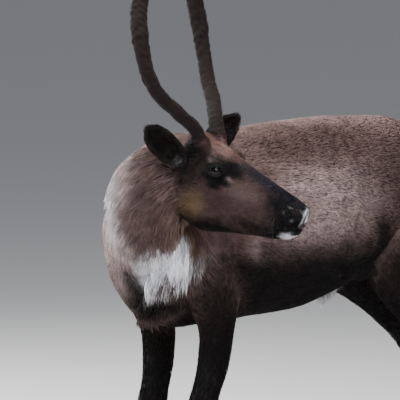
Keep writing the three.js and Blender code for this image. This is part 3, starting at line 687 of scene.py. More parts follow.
def lie_of_coat(points, normals):
    """For each point of the skin: the way the hair lies, and the share of each kind of form in it."""
    kinds = list(HAIR)
    weight = np.zeros((len(points), len(kinds)))
    way = np.zeros((len(points), 3))
    for kind, centre, along, across, up, under in guides():
        away = points - centre
        wide = away @ across / (across @ across)
        high = away @ up
        high = np.where(high > 0, high / (up @ up), high / (np.linalg.norm(up) * under))
        far = away @ along / math.sqrt(np.linalg.norm(across) * np.linalg.norm(up))
        broad, tall, long = (1.2, 2.4, 0.5) if kind == "ear" else (1, 1, 0.9)
        distance = np.sqrt((wide / broad) ** 2 + (high / tall) ** 2 + (long * far) ** 2)
        near = np.maximum(distance, 0.3) ** -14
        weight[:, kinds.index(kind)] += near
        way += (near * HAIR[kind][3])[:, None] * along
    weight /= weight.sum(1, keepdims=True)
    trunk = weight[:, kinds.index("trunk")]
    flank = 1 - np.abs(normals[:, 2])
    way = unit(way) - UP * (trunk * flank * 0.35)[:, None]
    way[:, 1] += ripple(points, 150, 5) * 0.10 * trunk
    way -= normals * (way * normals).sum(1, keepdims=True)
    return unit(way), dict(zip(kinds, weight.T))


def spot(points, centre, radii, soft=0.35):
    """1 inside an ellipsoid, 0 outside and soft between."""
    return 1 - ease(1 - soft, 1 + soft, away_from(points, centre, radii))


# Marks in the head's frame, the same on both sides: centre, radii and strength of each
HEAD_MARKS = {
    "warm": [((30, 0, 96), (84, 44, 20), 0.6), ((96, 0, 84), (36, 20, 16), 0.4)],
    "ochre": [
        ((22, 56, -84), (27, 34, 54), 0.75), ((6, 50, -118), (34, 40, 44), 0.85),
        ((-6, 40, -150), (34, 40, 34), 0.7)],
    "pale": [
        ((40, 60, 66), (24, 14, 4), 0.42), ((92, 50, 32), (12, 10, 6), 0.5),
        ((134, 40, 12), (46, 26, 24), 0.07), ((36, 20, 92), (40, 20, 12), 0.35)],
    "dark": [
        ((-36, 58, 16), (32, 32, 62), 1.0), ((-26, 46, 82), (34, 32, 30), 1.0),
        ((48, 60, 40), (44, 30, 38), 0.95), ((-12, 60, 12), (34, 32, 52), 0.85),
        ((88, 36, 60), (32, 22, 24), 0.95), ((206, 30, -66), (70, 44, 26), 0.85),
        # The two below are painted shade under the jaw and on the throat hair beneath it
        ((110, 0, -136), (150, 66, 54), 0.95), ((40, 0, -142), (44, 60, 46), 0.9),
        ((-8, 62, 34), (30, 30, 70), 0.8)],
    "slate": [
        ((200, 0, 66), (112, 34, 34), 1.0), ((262, 0, 50), (50, 40, 26), 1.0),
        ((150, 14, 68), (62, 20, 18), 0.85)],
    "black": [
        ((272, 0, -4), (60, 80, 54), 1.0), ((236, 0, 26), (50, 60, 36), 1.0),
        ((258, 30, -42), (30, 34, 28), 1.0), ((56, 60, 32), (34, 26, 34), 1.0),
        ((88, 36, 62), (18, 14, 18), 0.65)],
    "white": [
        # The first two are white hair on the front of the lip and nose, whitened further as a painted
        # highlight along the nose's upper front edge
        ((312, 0, 10), (10, 50, 26), 0.95), ((306, 0, 36), (11, 40, 16), 0.8),
        ((288, 0, -52), (25, 46, 18), 0.85), ((250, 44, 18), (2, 10, 7), 0.1),
        ((285, 40, 6), (3, 8, 6), 0.1), ((266, 38, 36), (9, 10, 2), 0.1),
        ((-54, 70, 32), (12, 12, 24), 0.07)],
}
# Marks in the animal's frame
BODY_MARKS = {
    "brown": [
        ((120, -300, 800), (120, 200, 200), 0.5), ((150, -10, 1040), (110, 230, 50), 0.62),
        ((228, 135, 920), (50, 44, 120), 0.65), ((200, 430, 850), (130, 260, 200), 0.75),
        ((-60, 380, 850), (170, 250, 190), 0.75), ((204, -60, 780), (90, 320, 44), 0.75),
        ((-204, -60, 780), (90, 320, 44), 0.75), ((60, -150, 1075), (90, 200, 30), 0.35)],
    "pale": [
        # The first two are painted light on the lit tuft behind the elbow
        ((182, -290, 782), (26, 34, 28), 0.4), ((184, -252, 754), (22, 26, 16), 0.35),
        ((0, -650, 900), (96, 84, 160), 1.0), ((50, -680, 1000), (90, 80, 100), 0.9),
        ((-40, -610, 770), (70, 80, 130), 0.8), ((215, -50, 885), (80, 230, 105), 0.45),
        ((262, 560, 860), (130, 60, 110), 0.4), ((226, 82, 800), (30, 16, 90), 0.3)],
    "dark": [
        # All painted shade: under the bib, between the bib and the foreleg, and in the flank's crease before
        # the thigh
        ((6, -600, 700), (40, 60, 60), 0.9), ((70, -540, 668), (110, 110, 62), 0.95),
        ((232, 226, 800), (44, 40, 40), 0.95), ((222, 214, 745), (46, 34, 50), 1.0),
        ((205, 166, 700), (60, 50, 48), 0.95), ((160, 330, 690), (120, 100, 80), 0.95),
        ((150, -440, 660), (80, 90, 66), 0.75)],
    "ochre": [((184, -540, 842), (28, 36, 60), 0.8)],
    "white": [
        # The first whitens the pale hair down the front of the neck further, as a painted rim light; the rest
        # are the white bib
        ((-6, -672, 930), (84, 62, 150), 0.6), ((146, -565, 798), (42, 86, 30), 0.95),
        ((102, -590, 772), (44, 60, 42), 1.0), ((72, -590, 738), (34, 50, 44), 1.0)],
}
MARKS = ("brown", "pale", "warm", "ochre", "dark", "slate", "black", "white")
MARK_EDGE = 0.45


def head_share(share):
    """How far each point belongs to the head and its ears."""
    return np.clip(share["head"] * 2 + share["ear"], 0, 1)


def moved(points, length, seed, most):
    """Points shifted by soft waves, so that edges drawn there wander by that many millimetres."""
    return points + np.stack([ripple(points, length, seed + k) for k in range(3)], 1) * most


def markings(points, share):
    """The coat's marks at each point, 0 to 1, painted shade and painted light among them."""
    wander = moved(points, 70, 11, 8)
    on_head = head_share(share)
    marks = {name: np.zeros(len(points)) for name in MARKS}
    tables = (
        (HEAD_MARKS, to_half_head(moved(points, 30, 14, 2.5)), on_head),
        (BODY_MARKS, wander, 1 - on_head))
    for table, places, where in tables:
        for name, spots in table.items():
            for centre, radii, strength in spots:
                mark = strength * spot(places, centre, radii, MARK_EDGE) * where
                marks[name] = np.maximum(marks[name], mark)
    z = wander[:, 2]
    legs = share["foreleg"] + share["hindleg"]
    # Painted shade: the band under the trunk darkens the belly; the legs are dark hair, deepened further as
    # painted shade
    painted_belly_shade = (1 - ease(714, 812, z)) * share["trunk"] * (0.3 + 0.7 * ease(-600, -430, points[:, 1]))
    ears = share["ear"] * (0.97 + 0.03 * ripple(points, 12, 61))
    by_form = {
        "dark": [painted_belly_shade, legs * (1 - 0.4 * ease(600, 800, z)), ears],
        "brown": [share["neck"] * 0.6, share["head"] * 0.8, share["bib"], legs],
        "white": [share["tail"] * 0.8, share["sheath"] * 0.95],
    }
    for name, more in by_form.items():
        marks[name] = np.maximum.reduce([marks[name], *more])
    return marks


def store_coat_facts(skin):
    """Puts the lie, lengths and marks of the coat on the skin's points."""
    points, faces = points_of(skin), triangles_of(skin)
    normals = normals_at(points, faces)
    edges, _ = edges_of(faces)
    way, share = lie_of_coat(points, normals)
    half_off_head = 0.5 * (1 - head_share(share))
    own = np.stack(list(share.values()), 1)
    main = own.argmax(1)
    own = relaxed(own, edges, 16, half_off_head)
    share = dict(zip(HAIR, own.T))
    way = unit(relaxed(way, edges, 16, half_off_head))
    choice = bpy.context.scene.reindeer_coat
    # The trunk, neck, bib and head come first in HAIR, and their lengths are settings
    chosen = choice.body_hair, choice.neck_hair, choice.bib_hair, choice.face_hair
    table = np.array([row[:3] for row in HAIR.values()], float)
    table[:4, 0] = [wanted / MM for wanted in chosen]
    length, width, lift = (own @ table).T
    q = to_half_head(points)
    nose = ease(120, 300, q[:, 0]) * share["head"]
    close = (1 - ease(24, 60, away_from(q, EYE_AT))) * share["head"]
    length *= (1 - 0.45 * nose) * (1 - 0.45 * close)
    width *= (1 - 0.2 * nose) * (1 - 0.3 * close)
    length *= 1 - share["bib"] * 0.72 * (1 - ease(640, 760, points[:, 2]))
    lift *= (1 - 0.5 * nose) * (1 - 0.7 * close)
    nostril = spot(q, (266, 38, 20), (15, 14, 9))
    bare = [nostril]
    for side in SIDES.values():
        centre, axes = eye_frame(side)
        u, v, out = ((to_head(points) - centre) @ axes.T).T
        bare.append(ease(-4.6, -1.6, opening(u, v)) * (out > 0) * (np.hypot(u, v) < 30))
    marks = markings(points, share)
    soft = relaxed(np.stack(list(marks.values()), 1), edges, 5, half_off_head)
    put(skin, way=unit(way - normals * (way * normals).sum(1, keepdims=True)),
        hair_length=length, hair_width=width, hair_lift=lift, bare=np.maximum.reduce(bare),
        closeness=np.clip(FACE_TUFT / (length * width), 1.0, 3.5) * share["head"] + 1 - share["head"],
        **dict(zip(marks, soft.T)),
        **{"is_" + kind: main == i for i, kind in enumerate(HAIR)},
        **{"share_" + kind: values for kind, values in share.items()})


def unwrap(skin):
    """Lays the skin's own shape out flat in the map OFBake."""
    bpy.ops.object.select_all(action="DESELECT")
    bpy.context.view_layer.objects.active = skin
    skin.select_set(True)
    bpy.ops.object.mode_set(mode="EDIT")
    bpy.ops.mesh.select_all(action="SELECT")
    bpy.ops.uv.smart_project(angle_limit=1.15, island_margin=0.002)
    bpy.ops.object.mode_set(mode="OBJECT")
    skin.data.uv_layers[0].name = "OFBake"


# Tufts

# The width of a tuft's patch on the map, and how thick a tuft is against its width
PATCH, THICK = 0.003, 0.42


def scattered(obj, count, draw, density):
    """Random places on an object's triangles, thicker where its points' density is higher.

    Gives a function that reads the points' values there, the places, their normals and their map places.
    """
    points, faces = points_of(obj), triangles_of(obj)
    a, b, c = (points[faces[:, i]] for i in range(3))
    area = np.linalg.norm(np.cross(b - a, c - a), axis=1) * density[faces].mean(1)
    chosen = draw.choice(len(faces), count, p=area / area.sum())
    mix = draw.dirichlet((1, 1, 1), count)[..., None]

    def at(values):
        rows = values[faces[chosen]]
        return (rows * mix).sum(1) if rows.ndim == 3 else (rows * mix[..., 0]).sum(1)

    uv = read(obj.data.uv_layers["OFBake"].data, "uv", 2)
    corners = read(obj.data.loop_triangles, "loops", 3, np.int32)[chosen]
    return at, at(points), unit(at(normals_at(points, faces))), (uv[corners] * mix).sum(1)


def make_tufts(name, root, root_uv, way, out, length, width, lift, curl=0.0):
    """A piece of closed three-sided tufts. Each rises from its root, is widest in its middle and falls back.

    root_uv is each root's place on the map, where the tuft gets a small patch. Gives the piece and the share
    of the way to the tip of one tuft's points.
    """
    _, rings, _ = TUFTS[name]
    across = unit(np.cross(way, out))
    rows, share = [root - out * 1.2], [0.0]
    for s in np.linspace(0.0, 1.0, rings + 2)[1:-1]:
        rise = lift * (1 - (1 - min(s / 0.55, 1.0)) ** 2) * (1 - 0.35 * max(0.0, s - 0.55) / 0.45)
        bow = curl * math.sin(math.pi * s)
        middle = root + way * (length * s)[:, None] + out * rise[:, None] + across * (bow * length)[:, None]
        wide = width * (0.5 * (1 - s ** 3) * (0.75 + 0.25 * min(s / 0.3, 1)))
        for side, high in ((-1, -0.3), (1, -0.3), (0, 0.7)):
            thick = high * (width * THICK) * (1 - s ** 3)
            rows.append(middle + across * (side * wide)[:, None] + out * thick[:, None])
            share.append(s)
    rows.append(root + way * length[:, None] + out * (lift * 0.62)[:, None])
    share.append(1.0)
    one = [(0, 1, 2), (0, 2, 3), (0, 3, 1)]
    last = 3 * rings - 2
    for a in range(1, last, 3):
        for i, j in ((0, 1), (1, 2), (2, 0)):
            one += [(a + i, a + 3 + j, a + j), (a + i, a + 3 + i, a + 3 + j)]
    one += [(last + 1, last, last + 3), (last + 2, last + 1, last + 3), (last, last + 2, last + 3)]
    size = len(rows)
    faces = (np.array(one) + (np.arange(len(root)) * size)[:, None, None]).reshape(-1, 3)
    piece = new_mesh(name, np.stack(rows, 1).reshape(-1, 3), faces)
    spin = np.linspace(0, 2 * math.pi, size, endpoint=False)
    patch = np.stack([np.cos(spin), np.sin(spin)], 1) * (PATCH / 2)
    uv = (root_uv[:, None] + patch).reshape(-1, 2)[faces.ravel()]
    piece.data.uv_layers.new(name="OFBake").data.foreach_set("uv", uv.astype(np.float32).ravel())
    return piece, np.array(share)


def in_locks(root, out, lay, length, draw, number, gather, fall, contrast):
    """Hair that hangs, in that many locks whose tips draw together by a share: its lay, length and shade."""
    heart = root[draw.choice(len(root), number, replace=False)]
    nearest = np.concatenate([
        np.argmin(((part[:, None] - heart) ** 2).sum(2), axis=1) for part in np.array_split(root, 40)])
    own = draw.uniform(-1, 1, (number, 1))[nearest]
    drop = unit(unit(lay + np.array(fall)) + 0.22 * np.array([0.8, 0.5, 0.0]) * own)
    tip = root + drop * length[:, None]
    point = heart[nearest] + drop * length[:, None] * 1.05
    to = tip + (point - tip) * gather - root
    to -= out * np.minimum((to * out).sum(1), 0)[:, None]
    return unit(to), np.linalg.norm(to, axis=1), contrast * own[:, 0]


def grow(name, wanted):
    """A coat piece: tufts on the skin where wanted(values, points) is above 0, thicker where it is higher."""
    budget, rings, seed = TUFTS[name]
    skin = bpy.data.objects["skin"]
    draw = np.random.default_rng(seed)
    stored = [a.name for a in skin.data.attributes if a.domain == "POINT" and a.data_type.startswith("FLOAT")]
    values = {key: got(skin, key) for key in stored}
    density = wanted(values, points_of(skin)) * (1 - ease(0.2, 0.6, values["bare"])) * values["closeness"]
    count = budget // (6 * rings)
    at, root, out, root_uv = scattered(skin, count, draw, density)
    sample = {key: at(array) for key, array in values.items()}
    lay = sample["way"]
    loose = 1 - 0.7 * sample["share_trunk"]
    swing = loose * (0.07 * ripple(root, 34, 41) + draw.normal(0, SWING, count)) + 0.05 * ripple(root, 95, 42)
    lay = unit(lay + np.cross(lay, out) * swing[:, None])
    length = sample["hair_length"] * draw.uniform(*LENGTHS, count)
    width = sample["hair_width"] * draw.uniform(*WIDTHS, count)
    lift = sample["hair_lift"] * draw.uniform(*LIFTS, count) * (1 + 0.10 * ripple(root, 48, 43))
    shade = 0.0
    if name in LOCKS:
        lay, length, shade = in_locks(root, out, lay, length, draw, *LOCKS[name])
    curl = draw.normal(0, CURL, count)
    piece, share = make_tufts(name, root, root_uv, lay, out, length, width, lift, curl)
    long_hair = sample["share_neck"] + 0.6 * sample["share_bib"]
    streak = ripple(root * [0.25, 0.1, 1.0], 19, 77) + 0.8 * ripple(root * [0.6, 0.4, 1.0], 60, 78)
    own = draw.normal(0, TONE, count) * (1 + 0.8 * long_hair + sample["share_ear"])
    tone = own + 0.3 * streak * (1 + 0.6 * long_hair) + shade
    of_tuft = {mark: sample[mark] for mark in MARKS}
    of_tuft.update(tone=np.clip(tone, -2.4, 2.4), strand=draw.uniform(0, 1, count))
    size = len(share)
    contrast = np.repeat(long_hair, size)
    put(piece, **{key: np.repeat(array, size) for key, array in of_tuft.items()},
        tip=np.tile(share, count) * (1 + 0.9 * contrast) - 0.5 * contrast,
        across=np.tile(np.r_[0.0, np.tile([-1.0, 1.0, 0.0], rings), 0.0], count))
    piece.data.materials.append(coat_material())
    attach(piece, "root")
    return piece


def grow_down(antler, name):
    """Short down that stands off an antler and leans to its tip."""
    budget, rings, seed = TUFTS[name]
    draw = np.random.default_rng(seed)
    count = budget // (6 * rings)
    at, root, out, root_uv = scattered(antler, count, draw, np.ones(len(antler.data.vertices)))
    stand = draw.uniform(0.3, 0.8, (count, 1))
    lay = unit(at(got(antler, "way")) * 0.9 + out * stand + 0.25 * draw.normal(size=(count, 3)))
    length = bpy.context.scene.reindeer_antlers.down / MM * draw.uniform(0.7, 1.3, count)
    width = draw.uniform(0.5, 0.8, count)
    up = unit(out - lay * (out * lay).sum(1, keepdims=True) + 1e-3)
    piece, _ = make_tufts(name, root, root_uv, lay, up, length, width, np.full(count, 0.5))
    return piece


# Materials

def linear(text):
    """A linear colour from sRGB hex."""
    values = [int(text[i:i + 2], 16) / 255 for i in (1, 3, 5)]
    return tuple(v / 12.92 if v <= 0.04045 else ((v + 0.055) / 1.055) ** 2.4 for v in values)


def add_node(tree, kind, sockets=None, **settings):
    """Adds a node with its settings.

    A socket takes a value, a hex colour, an output, or a node for that node's first output.
    """
    made = tree.nodes.new(kind)
    for name, value in settings.items():
        setattr(made, name, value)
    for name, value in (sockets or {}).items():
        if isinstance(value, bpy.types.Node):
            value = value.outputs[0]
        if isinstance(value, bpy.types.NodeSocket):
            tree.links.new(value, made.inputs[name])
        else:
            made.inputs[name].default_value = (*linear(value), 1) if str(value).startswith("#") else value
    return made


def new_material(name):
    """A material and its empty node tree."""
    material = bpy.data.materials.new(name)
    material.use_nodes = True
    material.node_tree.nodes.clear()
    return material, material.node_tree


def shaded(material, sockets):
    """Adds the material's shader, with those values and outputs on its sockets."""
    tree = material.node_tree
    shader = add_node(tree, "ShaderNodeBsdfPrincipled", sockets)
    add_node(tree, "ShaderNodeOutputMaterial", {"Surface": shader})
    return material


def pattern(tree, millimetres, detail=3.0):
    """A noise's sockets for main waves of about that many millimetres in the piece's own frame."""
    place = add_node(tree, "ShaderNodeTexCoord").outputs["Object"]
    return {"Vector": place, "Scale": 1 / (2.2 * millimetres * MM), "Detail": detail, "Roughness": 0.55}


# The stage

CAMERA_AZIMUTH, CAMERA_RISE = 40.0, 4.5
CAMERA_AWAY = 14.0
SENSOR = 36
PIXELS_PER_METRE = 368.0
PICTURE = 400
AIM_RIGHT, AIM_UP, AIM_DEPTH = -0.173, 0.8775, 0.18
FLOOR_HALF, FLOOR_BELOW, PAPER_GRAIN = 40, 0.0005, 151.5
SKY_COLOUR = (0.86, 0.9, 1.0, 1)
LIT_PLACE = (0, 0, 0.9)
# Soft boxes: place, width, power against the overhead one's, colour
LIGHTS = {
    "overhead": ((0.6, -1.2, 4.2), 3.4, 1.0, (1, 0.98, 0.95)),
    "side": ((3.6, -2.6, 2.4), 2.2, 0.16, (1, 0.97, 0.94)),
    "rear": ((-3.6, 0.9, 3.2), 2.0, 0.5, (0.95, 0.97, 1)),
    "left": ((-4.2, -3.0, 2.6), 2.4, 1.1, (0.9, 0.95, 1)),
    "front": ((3.8, -5.4, 4.8), 2.4, 0.62, (0.72, 0.84, 1)),
}


def aimed(name, data, place, back):
    """A linked light or camera at a place, which looks away from back."""
    made = bpy.data.objects.new(name, data)
    made.location = place
    made.rotation_mode = "QUATERNION"
    made.rotation_quaternion = back.to_track_quat("Z", "Y")
    bpy.context.scene.collection.objects.link(made)
    return made


def make_camera():
    """The photograph's view: from the animal's left front, with a long lens."""
    a, e = math.radians(CAMERA_AZIMUTH), math.radians(CAMERA_RISE)
    right = Vector((math.cos(a), math.sin(a), 0))
    back = Vector((math.sin(a) * math.cos(e), -math.cos(a) * math.cos(e), math.sin(e)))
    data = bpy.data.cameras.new("view")
    data.sensor_width = SENSOR
    data.lens = SENSOR * CAMERA_AWAY * PIXELS_PER_METRE / PICTURE
    data.clip_start, data.clip_end = 0.1, 200
    centre = Vector(MOVE * MM) + right * AIM_RIGHT + back.cross(right) * AIM_UP
    bpy.context.scene.camera = aimed("view", data, centre + back * (AIM_DEPTH + CAMERA_AWAY), back)


def add_light(name, power):
    """A square soft box that faces the animal."""
    place, width, share, colour = LIGHTS[name]
    data = bpy.data.lights.new(name, "AREA")
    data.shape = "SQUARE"
    data.size, data.energy, data.color = width, power * share, colour
    aimed(name, data, place, Vector(place) - Vector(LIT_PLACE)).visible_camera = False


def tint(name, description, value):
    """A colour setting."""
    return FloatVectorProperty(
        name=name, description=description, default=linear(value), subtype="COLOR", size=3, min=0, max=1)


def reach(name, description, metres):
    """A length setting."""
    return FloatProperty(
        name=name, description=description, default=metres, min=0.001, max=0.3, unit="LENGTH")


class ReindeerStage(bpy.types.PropertyGroup):
    """The floor and the light."""

    floor_colour: tint("Floor", "Colour of the paper floor", "#cfcdca")
    overhead: FloatProperty(
        name="Overhead light", description="Strength of the soft box above", default=370, min=0, unit="POWER")
    sky: FloatProperty(
        name="Fill", description="Strength of the light from all round", default=0.32, min=0, max=3)


class ReindeerCoat(bpy.types.PropertyGroup):
    """The coat's lengths and colours."""

    body_hair: reach("Body hair", "Length of the hair on the trunk", 0.044)
    neck_hair: reach("Neck hair", "Length of the hair on the neck", 0.062)
    bib_hair: reach("Bib hair", "Length of the hair that hangs under the throat", 0.084)
    face_hair: reach("Face hair", "Length of the hair on the cheeks and brow", 0.012)
    shade: tint("Coat, darker", "Darker half of the coat's mottling", "#5c4844")
    light: tint("Coat, lighter", "Lighter half of the coat's mottling", "#8c7571")
    brown: tint("Brown", "Face, legs and flank's lower edge", "#3a2a26")
    # Pale also paints light on the lit tuft behind the elbow
    pale: tint("Pale", "Pale neck and flank", "#b5a29f")
    warm: tint("Warm", "Warm brown of the brow", "#6d4f47")
    ochre: tint("Ochre", "Yellow brown behind the jaw", "#6e5a42")
    # Dark also paints shade on the belly, under the bib, in the flank's crease and under the jaw; legs and eye
    # rings are dark hair, the legs deepened as painted shade
    dark: tint("Dark", "Belly, legs and the rings of the eyes", "#0e0a09")
    slate: tint("Slate", "Bridge of the nose", "#262229")
    black: tint("Black", "Muzzle", "#08070a")
    # White also paints a rim light down the front of the neck and a highlight on the nose's upper front edge
    white: tint("White", "Bib, chin, lip and tail", "#e6e5ea")


class ReindeerEyes(bpy.types.PropertyGroup):
    """The eyes and lashes."""

    iris: tint("Iris", "Lighter fibres of the iris", "#170c07")
    lash: reach("Lashes", "Length of the upper lashes", 0.013)
    whisker: reach("Whiskers", "Length of the longest whiskers", 0.036)


class ReindeerAntlers(bpy.types.PropertyGroup):
    """The velvet of the antlers."""

    velvet: tint("Velvet", "Lighter patches of the velvet", "#191211")
    down: reach("Down", "Length of the velvet's down", 0.0033)


class ReindeerHooves(bpy.types.PropertyGroup):
    """The horn of the hooves."""

    horn: tint("Horn", "Unworn horn", "#151111")


class REINDEER_OT_stage(bpy.types.Operator):
    """Adds the floor, the soft light and the camera"""

    bl_idname = "reindeer.stage"
    bl_label = "Stage"

    def execute(self, context):
        choice = context.scene.reindeer_stage
        mesh = bpy.data.meshes.new("floor")
        half = FLOOR_HALF
        corners = (-half, -half), (half, -half), (half, half), (-half, half)
        mesh.from_pydata([(x, y, -FLOOR_BELOW) for x, y in corners], [], [(0, 1, 2, 3)])
        floor = bpy.data.objects.new("floor", mesh)
        context.scene.collection.objects.link(floor)
        # Matt paper: a pale ground, hardly mottled, that takes a soft shadow and mirrors nothing
        material, tree = new_material("matt studio paper")
        grain = add_node(tree, "ShaderNodeTexNoise", {**pattern(tree, PAPER_GRAIN), "Roughness": 0.5})
        pale = [min(1, value * 1.03) for value in choice.floor_colour]
        colours = {0: grain, 6: (*choice.floor_colour, 1), 7: (*pale, 1)}
        paper = add_node(tree, "ShaderNodeMix", colours, data_type="RGBA").outputs[2]
        mesh.materials.append(shaded(material, {"Base Color": paper, "Roughness": 0.9}))
        world = bpy.data.worlds.new("studio")
        world.use_nodes = True
        background = world.node_tree.nodes["Background"]
        background.inputs["Color"].default_value = SKY_COLOUR
        background.inputs["Strength"].default_value = choice.sky
        context.scene.world = world
        for name in LIGHTS:
            add_light(name, choice.overhead)
        make_camera()
        return {"FINISHED"}


# What the coat and skin are made of

def coat_colour(tree):
    """The coat's colour from its marks, with the mottling of mixed hairs and broken edges."""
    choice = bpy.context.scene.reindeer_coat
    mottling = add_node(tree, "ShaderNodeTexNoise", pattern(tree, 60))
    colours = {0: mottling, 6: (*choice.shade, 1), 7: (*choice.light, 1)}
    colour = add_node(tree, "ShaderNodeMix", colours, data_type="RGBA").outputs[2]
    speckle = add_node(tree, "ShaderNodeTexNoise", pattern(tree, 9, 4.0))
    broken = add_node(tree, "ShaderNodeMath", {0: speckle, 1: 0.9, 2: -0.45}, operation="MULTIPLY_ADD")
    for mark in MARKS:
        value = add_node(tree, "ShaderNodeAttribute", attribute_name=mark).outputs["Fac"]
        rest = add_node(tree, "ShaderNodeMath", {0: 1.0, 1: value}, operation="SUBTRACT")
        edge = add_node(tree, "ShaderNodeMath", {0: value, 1: rest}, operation="MULTIPLY")
        edge = add_node(tree, "ShaderNodeMath", {0: edge, 1: 4.0}, operation="MULTIPLY")
        share = add_node(tree, "ShaderNodeMath", {0: broken, 1: edge, 2: value}, operation="MULTIPLY_ADD")
        share = add_node(tree, "ShaderNodeClamp", {"Value": share})
        colours = {0: share, 6: colour, 7: (*getattr(choice, mark), 1)}
        colour = add_node(tree, "ShaderNodeMix", colours, data_type="RGBA").outputs[2]
    return colour


# A tuft's brightness at its root, and what is added at its tip, by its own tone and by its single hairs
ROOT_BRIGHT, TIP_EFFECT, TONE_EFFECT, HAIR_EFFECT = 0.62, 0.25, 0.17, 0.48


def coat_material():
    """Reindeer hair: hollow matt hairs, dark at the root and pale at the tip, no two tufts of one shade."""
    if "reindeer hair" in bpy.data.materials:
        return bpy.data.materials["reindeer hair"]
    material, tree = new_material("reindeer hair")
    tone, tip, across, strand = (
        add_node(tree, "ShaderNodeAttribute", attribute_name=fact).outputs["Fac"]
        for fact in ("tone", "tip", "across", "strand"))
    # Noise that is stretched along the hair and differs from tuft to tuft shows single hairs
    place = add_node(tree, "ShaderNodeCombineXYZ", {"X": across, "Y": tip, "Z": strand})
    place = add_node(tree, "ShaderNodeVectorMath", {0: place, 1: (2.2, 0.8, 60.0)}, operation="MULTIPLY")
    hairs = add_node(tree, "ShaderNodeTexNoise", {"Vector": place, "Scale": 1.6, "Detail": 2.0})
    bright = ROOT_BRIGHT
    for value, effect in ((tip, TIP_EFFECT), (tone, TONE_EFFECT), (hairs, HAIR_EFFECT)):
        bright = add_node(tree, "ShaderNodeMath", {0: value, 1: effect, 2: bright}, operation="MULTIPLY_ADD")
    scaled = {0: coat_colour(tree), "Scale": bright}
    colour = add_node(tree, "ShaderNodeVectorMath", scaled, operation="SCALE")
    bump = add_node(tree, "ShaderNodeBump", {"Height": hairs, "Strength": 0.5, "Distance": 0.0006})
    return shaded(material, {
        "Base Color": colour, "Normal": bump, "Roughness": 0.7, "Specular IOR Level": 0.05,
        "Sheen Weight": 0.02, "Sheen Roughness": 0.5})


def skin_material():
    """Skin under short hair: matt, its coat colour darkened as painted shade between the hairs, moist and
    black where it is bare.
    """
    material, tree = new_material("hide under hair")
    grain = add_node(tree, "ShaderNodeTexNoise", pattern(tree, 2.4))
    # Painted shade: the coat's colour at 0.65 to 0.95 of itself, so that skin seen between the tufts reads as
    # shadow
    painted_gap_shade = add_node(tree, "ShaderNodeMath", {0: grain, 1: 0.3, 2: 0.65}, operation="MULTIPLY_ADD")
    scaled = {0: coat_colour(tree), "Scale": painted_gap_shade}
    colour = add_node(tree, "ShaderNodeVectorMath", scaled, operation="SCALE")
    bare = add_node(tree, "ShaderNodeAttribute", attribute_name="bare").outputs["Fac"]
    colour = add_node(tree, "ShaderNodeMix", {0: bare, 6: colour, 7: "#070606"}, data_type="RGBA").outputs[2]
    matt = add_node(tree, "ShaderNodeMath", {0: bare, 1: -0.35, 2: 0.8}, operation="MULTIPLY_ADD")
    bump = add_node(tree, "ShaderNodeBump", {"Height": grain, "Strength": 0.5, "Distance": 0.0012})
    return shaded(material, {
        "Base Color": colour, "Roughness": matt, "Specular IOR Level": 0.15, "Normal": bump})


# Eyes, antlers and hooves

CORNEA_ANGLE, CORNEA_RISE = 36, 0.055
IRIS, PUPIL_WIDE, PUPIL_HIGH = 11.5, 6.4, 4.0
# Half the width of the lid margins' path, then the radius of margins, lashes and whiskers at their roots
MARGIN_HALF = 20.2
MARGIN_RADIUS, LASH_RADIUS, WHISKER_RADIUS = 0.9, 0.42, 0.28
LASHES, LASH_SEED = 44, 600
WHISKERS, WHISKER_SEED = 64, 620
# Where whiskers grow, in the head's frame folded onto its left side: ahead, aside and up
WHISKER_ZONE = (226, 302), (16, 60), (-80, 8)
# How far apart the horn's growth lines stand
GROWTH_LINE = 4.488


def eye_material():
    """A wet deer's eye: near black, a brown iris round a level oval pupil, under a clear cornea."""
    material, tree = new_material("wet dark eye")
    u = add_node(tree, "ShaderNodeAttribute", attribute_name="across").outputs["Fac"]
    v = add_node(tree, "ShaderNodeAttribute", attribute_name="above").outputs["Fac"]
    place = add_node(tree, "ShaderNodeCombineXYZ", {"X": u, "Y": v})
    edges = []
    for wide, high, inner, outer in ((1, 1, IRIS - 2.5, IRIS), (PUPIL_WIDE, PUPIL_HIGH, 0.9, 1.1)):
        oval = add_node(tree, "ShaderNodeVectorMath", {0: place, 1: (wide, high, 1)}, operation="DIVIDE")
        away = add_node(tree, "ShaderNodeVectorMath", {0: oval}, operation="LENGTH").outputs["Value"]
        sockets = {"Value": away, "From Min": inner, "From Max": outer}
        edges.append(add_node(tree, "ShaderNodeMapRange", sockets))
    fibres = add_node(tree, "ShaderNodeTexNoise", pattern(tree, 0.9, 4.0))
    colours = {0: fibres, 6: "#070403", 7: (*bpy.context.scene.reindeer_eyes.iris, 1)}
    iris = add_node(tree, "ShaderNodeMix", colours, data_type="RGBA").outputs[2]
    ball = add_node(tree, "ShaderNodeMix", {0: edges[0], 6: iris, 7: "#060405"}, data_type="RGBA").outputs[2]
    colours = {0: edges[1], 6: "#020203", 7: ball}
    colour = add_node(tree, "ShaderNodeMix", colours, data_type="RGBA").outputs[2]
    return shaded(material, {
        "Base Color": colour, "Roughness": 0.3, "Specular IOR Level": 0.0, "Coat Weight": 0.65,
        "Coat Roughness": 0.02, "Coat IOR": 1.376})


def make_eye(name):
    """An eyeball with its cornea standing a little proud."""
    centre, axes = eye_frame(SIDES[name])
    points, faces, angle = globe(40, 48)
    swell = 1 + CORNEA_RISE * (1 - ease(0, math.radians(CORNEA_ANGLE), angle))
    local = points * (EYE_BALL * swell)[:, None]
    eye = new_mesh("eyeball_" + name, from_head(local @ axes + centre), faces)
    put(eye, across=local[:, 0], above=local[:, 1])
    return outward(eye)


